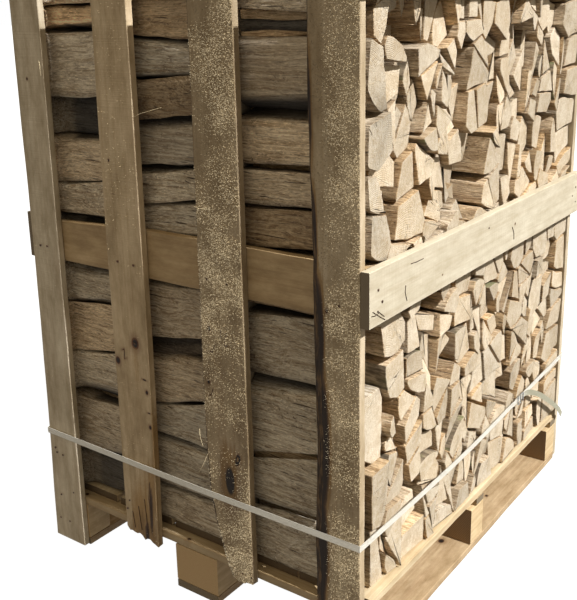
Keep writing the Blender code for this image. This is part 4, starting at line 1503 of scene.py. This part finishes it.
class Rule:
    """A Geometry Nodes tree with named inputs."""

    KINDS = {int: "NodeSocketInt", float: "NodeSocketFloat", tuple: "NodeSocketVector"}

    def __init__(self, name, **inputs):
        self.tree = bpy.data.node_groups.new(name, "GeometryNodeTree")
        face = self.tree.interface
        face.new_socket("Geometry", in_out="INPUT", socket_type="NodeSocketGeometry")
        face.new_socket("Geometry", in_out="OUTPUT", socket_type="NodeSocketGeometry")
        self.names = {}
        for key, value in inputs.items():
            kind = self.KINDS.get(type(value), "NodeSocketMaterial")
            socket = face.new_socket(key, in_out="INPUT", socket_type=kind)
            if kind != "NodeSocketMaterial":
                socket.default_value = value
            self.names[key] = socket.identifier
        self.start = self.tree.nodes.new("NodeGroupInput")
        self.geometry = self.start.outputs[0]

    def __getitem__(self, key):
        return self.start.outputs[key]

    def node(self, kind, feeds=None, out=0, **settings):
        node = self.tree.nodes.new(kind)
        for key, value in settings.items():
            setattr(node, key, value)
        for key, value in (feeds or {}).items():
            if isinstance(value, bpy.types.NodeSocket):
                self.tree.links.new(value, node.inputs[key])
            else:
                node.inputs[key].default_value = value
        return node.outputs[out]

    def math(self, operation, first, second):
        return self.node("ShaderNodeMath", {0: first, 1: second}, operation=operation)

    def band(self, value, low, high):
        return self.node("ShaderNodeMapRange", {"Value": value, "From Min": low, "From Max": high})

    def random_size(self, low, high):
        feeds = {2: low, 3: high, "Seed": self["seed"]}
        return self.node("FunctionNodeRandomValue", feeds, out=1, data_type="FLOAT")

    def sweep(self, line, profile):
        self.end(self.node("GeometryNodeCurveToMesh", {0: line, 1: profile, "Fill Caps": True}))

    def end(self, geometry):
        real = self.node("GeometryNodeRealizeInstances", {0: geometry})
        painted = self.node("GeometryNodeSetMaterial", {0: real, "Material": self["material"]})
        last = self.tree.nodes.new("NodeGroupOutput")
        self.tree.links.new(painted, last.inputs[0])

    def make(self, name, mesh, slot, node=None, **values):
        """Runs the tree on a mesh, and hands the result over as a piece."""
        thing = bpy.data.objects.new(name, mesh)
        bpy.context.collection.objects.link(thing)
        modifier = thing.modifiers.new(self.tree.name, "NODES")
        modifier.node_group = self.tree
        for key, value in values.items():
            modifier[self.names[key]] = value
        bpy.context.view_layer.update()
        graph = bpy.context.evaluated_depsgraph_get()
        result = bpy.data.meshes.new_from_object(thing.evaluated_get(graph), depsgraph=graph)
        thing.modifiers.clear()
        thing.data = result
        result.name = name
        result.shade_smooth()
        result.set_sharp_from_angle(angle=SHARP)
        hand_over(thing, slot, node)
        print(name, len(result.polygons), "faces")


def path_mesh(name, paths):
    """A mesh of bare edges: each path is a list of points."""
    points, edges = [], []
    for path in paths:
        edges += [(len(points) + i, len(points) + i + 1) for i in range(len(path) - 1)]
        points += [tuple(float(v) for v in point) for point in path]
    mesh = bpy.data.meshes.new(name)
    mesh.from_pydata(points, edges, [])
    return mesh


def smooth_path(corners, step):
    """A path through the corners without kinks, with a point at about every step."""
    corners = np.array(corners, dtype=float)
    ends = np.concatenate([[2 * corners[0] - corners[1]], corners, [2 * corners[-1] - corners[-2]]])
    path = []
    for a, b, c, d in zip(ends, ends[1:], ends[2:], ends[3:]):
        for t in np.linspace(0, 1, max(2, round(np.linalg.norm(c - b) / step)), endpoint=False):
            path.append(0.5 * (2 * b + (c - a) * t + (2 * a - 5 * b + 4 * c - d) * t ** 2
                               + (3 * b - a - 3 * c + d) * t ** 3))
    return [*path, corners[-1]]


# %% [markdown]
# ## The strap
#
# One flat woven strap goes once round, 33 to 36 cm up, laps over its own start through the buckle, and ends
# in a loose tail that curls down. It is drawn tight, so it is straight between the crate's corners. The tree
# sweeps a flat profile along the path and keeps two attributes for the weave: how far along a point is,
# and how far across.

# %% Strap
STRAP_WIDTH, STRAP, OFF, PROFILE_POINTS = 0.016, 0.001, 0.0008, 34
SIDE, SLAT_FACE, BOARD_FACE = 0.5, 0.6223, 0.5223
CROOKED_SIDE = -0.5105
CORNERS = (
    (SIDE, SLAT_FACE, 0.358), (-SIDE, SLAT_FACE, 0.345), (CROOKED_SIDE, -SLAT_FACE, 0.338),
    (SIDE, -SLAT_FACE, 0.332),
)
CORNER_STEPS = 4
NEAR, OVER = SIDE + OFF, SIDE + OFF + 0.0013
TAIL = (
    (NEAR, -0.60, 0.3315), (NEAR, -0.330, 0.326), (NEAR, -0.060, 0.327), (NEAR, 0.185, 0.339),
    (OVER, 0.226, 0.341), (OVER, 0.315, 0.341), (0.507, 0.358, 0.328), (0.511, 0.411, 0.302),
    (0.515, 0.464, 0.268), (0.517, 0.520, 0.231), (0.518, 0.575, 0.190), (0.517, 0.606, 0.160),
)


def strap_path():
    path = [(NEAR, 0.235, 0.341)]
    for quarter, (x, y, z) in enumerate(CORNERS):
        if quarter == 3:
            path.append((0.05, -SLAT_FACE - OFF, 0.330))
        for step in range(CORNER_STEPS + 1):
            angle = math.radians(90 * (quarter + step / CORNER_STEPS))
            path.append((x + OFF * math.cos(angle), y + OFF * math.sin(angle), z))
    return path + smooth_path(TAIL, 0.012)


def webbing_rule():
    rule = Rule("webbing", width=STRAP_WIDTH, thickness=STRAP, material=None)
    line = rule.node("GeometryNodeMeshToCurve", {0: rule.geometry})
    line = rule.node("GeometryNodeSetCurveNormal", {0: line}, mode="Z_UP")
    feeds = {0: line, "Name": "along", "Value": rule.node("GeometryNodeSplineParameter", out=1)}
    line = rule.node("GeometryNodeStoreNamedAttribute", feeds, data_type="FLOAT", domain="POINT")
    profile = rule.node(
        "GeometryNodeCurvePrimitiveQuadrilateral", {"Width": rule["thickness"], "Height": rule["width"]},
    )
    profile = rule.node("GeometryNodeResampleCurve", {0: profile, "Count": PROFILE_POINTS})
    feeds = {0: profile, "Name": "across", "Value": rule.node("GeometryNodeInputPosition")}
    profile = rule.node("GeometryNodeStoreNamedAttribute", feeds, data_type="FLOAT_VECTOR", domain="POINT")
    rule.sweep(line, profile)
    return rule


def webbing():
    f = Finish("webbing", roughness=0.45)
    along, _, _ = f.parts(f.attribute("along"))
    _, across, _ = f.parts(f.attribute("across"))
    warp = f.math("SINE", across * 5200.0)
    weft = f.math("SINE", along * 2600.0 + across * 2600.0)
    soil = f.noise(f.join(along * 22.0, across * 120.0, 0.0), detail=4, rough=0.65)
    edge = f.band(f.math("ABSOLUTE", across), 0.0064, 0.0078)
    colour = f.layers(
        paint(218, 215, 206),
        (soil, 0.40, 0.75, 0.5, paint(196, 191, 180)),
        (weft * warp, 0.0, 1.0, 0.15, paint(150, 146, 136)),
    )
    colour = f.mix(edge * 0.5, colour, paint(170, 165, 152))
    # The loose tail is painted darker and greener: painted shade where it hangs in shadow.
    colour = f.mix(f.band(along, 4.52, 4.62), colour, paint(150, 148, 126))
    # A faint glow lifts the strap: painted light for the light its pale plastic throws back in the shade.
    f.glow((1.0, 0.96, 0.84), 0.06)
    return f.done(colour, f.bump(warp * 0.5 + weft * 0.5 + edge, 0.0003))


webbing_rule().make(
    "strap_webbing", path_mesh("strap_path", [strap_path()]), "strap_plastic", node="strap",
    material=webbing(), width=STRAP_WIDTH, thickness=STRAP,
)

# %% [markdown]
# The buckle is one bent wire, three bars side by side that the strap is threaded through. The same tube tree
# makes the cracks and the loose threads further on.

# %% Buckle
WIRE_RADIUS, WIRE_BEND, PLAY = 0.0015, 0.0028, 0.0003
BUCKLE_HEIGHT, BUCKLE_START, BAR_PITCH, HALF_BAR, BARS = 0.342, 0.252, 0.019, 0.0135, 3


def tube_rule():
    rule = Rule("wire", radius=WIRE_RADIUS, bend=0.003, material=None)
    line = rule.node("GeometryNodeMeshToCurve", {0: rule.geometry})
    feeds = {0: line, "Radius": rule["bend"], "Count": 5, "Limit Radius": True}
    line = rule.node("GeometryNodeFilletCurve", feeds, mode="POLY")
    ring = rule.node("GeometryNodeCurvePrimitiveCircle", {"Resolution": 10, "Radius": rule["radius"]})
    rule.sweep(line, ring)
    return rule


def buckle_path():
    x = SIDE + 3 * PLAY + 2 * STRAP + WIRE_RADIUS
    path, way = [(x, BUCKLE_START, BUCKLE_HEIGHT + HALF_BAR)], -1
    for bar in range(BARS):
        y, z = BUCKLE_START + bar * BAR_PITCH, BUCKLE_HEIGHT + way * HALF_BAR
        path.append((x, y, z))
        if bar < BARS - 1:
            path.append((x, y + BAR_PITCH, z))
        way = -way
    return path


def speckled_steel(name, roughness, metallic, scale, detail, pale, dark, depth=None):
    f = Finish(name, roughness=roughness, metallic=metallic)
    wear = f.noise(f.place(), scale, detail=detail)
    return f.done(f.layers(pale, (wear, 0.4, 0.7, 1.0, dark)), f.bump(wear, depth) if depth else None)


WIRE = speckled_steel("buckle_steel", 0.35, 0.9, 300.0, 3, paint(176, 178, 180), paint(118, 118, 116), 0.0003)
TUBE = tube_rule()
TUBE.make(
    "buckle_bent_wire", path_mesh("buckle_path", [buckle_path()]), "buckle_wire", node="strap_buckle",
    material=WIRE, radius=WIRE_RADIUS, bend=WIRE_BEND,
)

# %% [markdown]
# ## Nails
#
# Each nail shows as a small dark head, a little sunk. They come in pairs where a slat crosses a rail, a block
# or a board.

# %% Nails
FRONT_NAILS = (
    (-0.467, 0.875), (-0.441, 0.876), (-0.184, 0.874), (-0.131, 0.872), (0.099, 0.876), (0.157, 0.873),
    (0.45, 0.876), (-0.488, 0.289), (-0.483, 0.276), (-0.459, 0.274), (-0.482, 0.145), (-0.429, 0.167),
    (-0.494, 0.068), (-0.456, 0.068), (-0.206, 0.217), (-0.215, 0.191), (0.170, 0.143), (0.197, 0.141),
    (0.41, 0.060), (0.46, 0.090), (-0.47, 1.53), (-0.43, 1.55), (-0.18, 1.53), (-0.13, 1.54), (0.11, 1.53),
    (0.17, 1.54), (0.42, 1.53), (0.46, 1.55),
)
END_NAILS = (
    (-0.588, 0.913), (-0.590, 0.868), (-0.572, 0.884), (-0.05, 0.925), (0.585, 0.915), (0.590, 0.870),
    (0.560, 0.893), (-0.588, 1.565), (-0.590, 1.520), (0.585, 1.565), (0.590, 1.520),
)
QUARTER = math.pi / 2


def nail_rule():
    rule = Rule("nail_heads", size=0.0027, turn=(0.0, 0.0, 0.0), seed=3, material=None)
    head = rule.node("GeometryNodeMeshCylinder", {"Vertices": 12, "Radius": rule["size"], "Depth": 0.0012})
    rule.end(rule.node("GeometryNodeInstanceOnPoints", {
        "Points": rule.geometry, "Instance": head, "Rotation": rule["turn"],
        "Scale": rule.random_size(0.75, 1.2),
    }))
    return rule


NAILS = nail_rule()
NAIL_STEEL = speckled_steel("nail_steel", 0.6, 0.5, 500.0, 2, paint(56, 44, 36), paint(96, 60, 38))
for side, face in (("front", -SLAT_FACE), ("back", SLAT_FACE)):
    spots = path_mesh(f"{side}_nails", [[(x, face, z)] for x, z in FRONT_NAILS])
    NAILS.make(f"nails_{side}", spots, "buckle_wire", material=NAIL_STEEL, turn=(QUARTER, 0, 0), seed=3)
for side, face in (("right", BOARD_FACE), ("left", -BOARD_FACE)):
    spots = path_mesh(f"{side}_nails", [[(face, y, z)] for y, z in END_NAILS])
    NAILS.make(f"nails_{side}", spots, "buckle_wire", material=NAIL_STEEL, turn=(0, QUARTER, 0), seed=4)

# %% [markdown]
# ## Cracks and loose threads
#
# A drying crack is a thin dark line in the face of a board, and a loose thread is a pale strip of wood that
# hangs from an edge. Both are tubes along short paths, one to two millimetres thick. The first slats are
# planed down, so their cracks lie a little deeper.

# %% Cracks and loose threads
END_CRACKS = (
    [(-0.474, 0.892), (-0.476, 0.878), (-0.468, 0.857)], [(-0.610, 0.873), (-0.585, 0.857), (-0.560, 0.842)],
    [(-0.589, 0.868), (-0.563, 0.850)], [(-0.615, 0.865), (-0.600, 0.862), (-0.587, 0.864)],
    [(-0.452, 0.934), (-0.425, 0.932), (-0.396, 0.932)], [(0.10, 0.895), (0.112, 0.877), (0.114, 0.860)],
)
SLAT_CRACKS = (
    [(-0.152, 0.237), (-0.149, 0.190), (-0.148, 0.135)], [(-0.199, 0.187), (-0.193, 0.140)],
    [(-0.129, 0.293), (-0.136, 0.243), (-0.131, 0.190)], [(-0.176, 0.209), (-0.169, 0.141)],
    [(-0.141, 0.668), (-0.151, 0.671)],
)
THREADS = (
    [(0.058, 0.499, 0.004), (0.062, 0.479, 0.007), (0.065, 0.455, 0.003)],
    [(0.078, 0.437, 0.001), (0.069, 0.412, 0.006), (0.060, 0.395, 0.008), (0.051, 0.381, 0.004)],
    [(-0.100, 1.225, 0.002), (-0.060, 1.238, 0.010), (-0.005, 1.253, 0.004)],
    [(-0.402, 1.345, 0.002), (-0.396, 1.325, 0.006), (-0.399, 1.31, 0.003)],
    [(0.073, 1.040, 0.001), (0.09, 1.038, 0.005), (0.118, 1.038, 0.001)],
)
PLANED_FACE, PLANED_CRACKS = 0.6201, 4


def plain(name, colour, roughness):
    return Finish(name, roughness=roughness).done(colour)


STRAW, GAP_DARK = plain("thread", paint(222, 206, 170), 0.7), plain("crack_dark", paint(62, 44, 30), 0.95)
faces = [-(PLANED_FACE if crack < PLANED_CRACKS else SLAT_FACE) for crack in range(len(SLAT_CRACKS))]
end_cracks = [[(BOARD_FACE, y, z) for y, z in path] for path in END_CRACKS]
slat_cracks = [[(x, y, z) for x, z in path] for y, path in zip(faces, SLAT_CRACKS)]
threads = [smooth_path([(x, -SLAT_FACE - off, z) for x, z, off in path], 0.004) for path in THREADS]
for name, paths, finish, radius in (
    ("end_board_cracks", end_cracks, GAP_DARK, 0.0007), ("slat_cracks", slat_cracks, GAP_DARK, 0.0009),
    ("loose_threads", threads, STRAW, 0.0005),
):
    TUBE.make(name, path_mesh(name, paths), "crate_wood", material=finish, radius=radius)

# %% [markdown]
# ## Raised fibres
#
# A blunt saw pulls up short fibres. They catch the sun that skims the slats, and stand out pale. Most are on
# the third and fourth slats. The scene's one sun leaves those in shade, so the fibres are given a faint glow:
# painted light in place of the sun on them.

# %% Raised fibres
SLIVER_RADIUS, EDGE_FADE = 0.0005, 0.02
FIBRES = ((1, 600.0, -1.0), (2, 7000.0, -1.0), (3, 340000.0, -1.0), (4, 380000.0, 0.414))


def fibre_rule():
    rule = Rule("raised_fibres", density=6000.0, length=0.0030, edge=-1.0, seed=1, material=None)
    facing = {0: rule.node("GeometryNodeInputNormal"), 1: (0.0, -1.0, 0.0)}
    outward = rule.node("ShaderNodeVectorMath", facing, out=1, operation="DOT_PRODUCT")
    front = rule.node(
        "FunctionNodeCompare", {0: outward, 1: 0.5}, data_type="FLOAT", operation="GREATER_THAN",
    )
    place = rule.node("GeometryNodeInputPosition")
    patchy = rule.node("ShaderNodeTexNoise", {"Vector": place, "Scale": 9.0, "Detail": 4.0})
    level = rule.node("ShaderNodeVectorMath", {0: place, 1: (12.0, 1.0, 130.0)}, operation="MULTIPLY")
    marks = rule.node("ShaderNodeTexNoise", {"Vector": level, "Scale": 1.0, "Detail": 2.0})
    past = rule.math("SUBTRACT", rule.node("ShaderNodeSeparateXYZ", {0: place}), rule["edge"])
    share = rule.math("MULTIPLY", rule.band(patchy, 0.36, 0.62), rule.band(past, 0.0, EDGE_FADE))
    share = rule.math("MULTIPLY", share, rule.band(marks, 0.38, 0.60))
    points = rule.node("GeometryNodeDistributePointsOnFaces", {
        "Mesh": rule.geometry, "Selection": front, "Density": rule.math("MULTIPLY", share, rule["density"]),
        "Seed": rule["seed"],
    })
    sliver = rule.node("GeometryNodeMeshCone", {
        "Vertices": 3, "Radius Top": 0.0, "Radius Bottom": SLIVER_RADIUS, "Depth": rule["length"],
    })
    way = {0: (-1.0, -0.7, -0.35), 1: (1.0, -0.1, 0.45), "Seed": rule["seed"]}
    lean = rule.node("FunctionNodeRandomValue", way, data_type="FLOAT_VECTOR")
    turned = rule.node("FunctionNodeAlignRotationToVector", {"Vector": lean}, axis="Z")
    rule.end(rule.node("GeometryNodeInstanceOnPoints", {
        "Points": points, "Instance": sliver, "Rotation": turned, "Scale": rule.random_size(0.35, 1.15),
    }))
    return rule


def glowing_fibre_finish():
    f = Finish("fibre", roughness=0.7)
    shade = f.noise(f.place(), 60.0, detail=1)
    # The glow is painted light, standing in for the sun on the fibres.
    f.glow((1.0, 0.88, 0.62), 0.40)
    return f.done(f.mix(shade, paint(216, 200, 162), paint(182, 160, 120)))


FUZZ, FIBRE = fibre_rule(), glowing_fibre_finish()
for slat, density, edge in FIBRES:
    board = bpy.data.objects[f"slat_front_{slat}_board"].data.copy()
    FUZZ.make(f"fibres_{slat}", board, "crate_wood", material=FIBRE, density=density, edge=edge, seed=slat)

# %% Last update
bpy.context.view_layer.update()
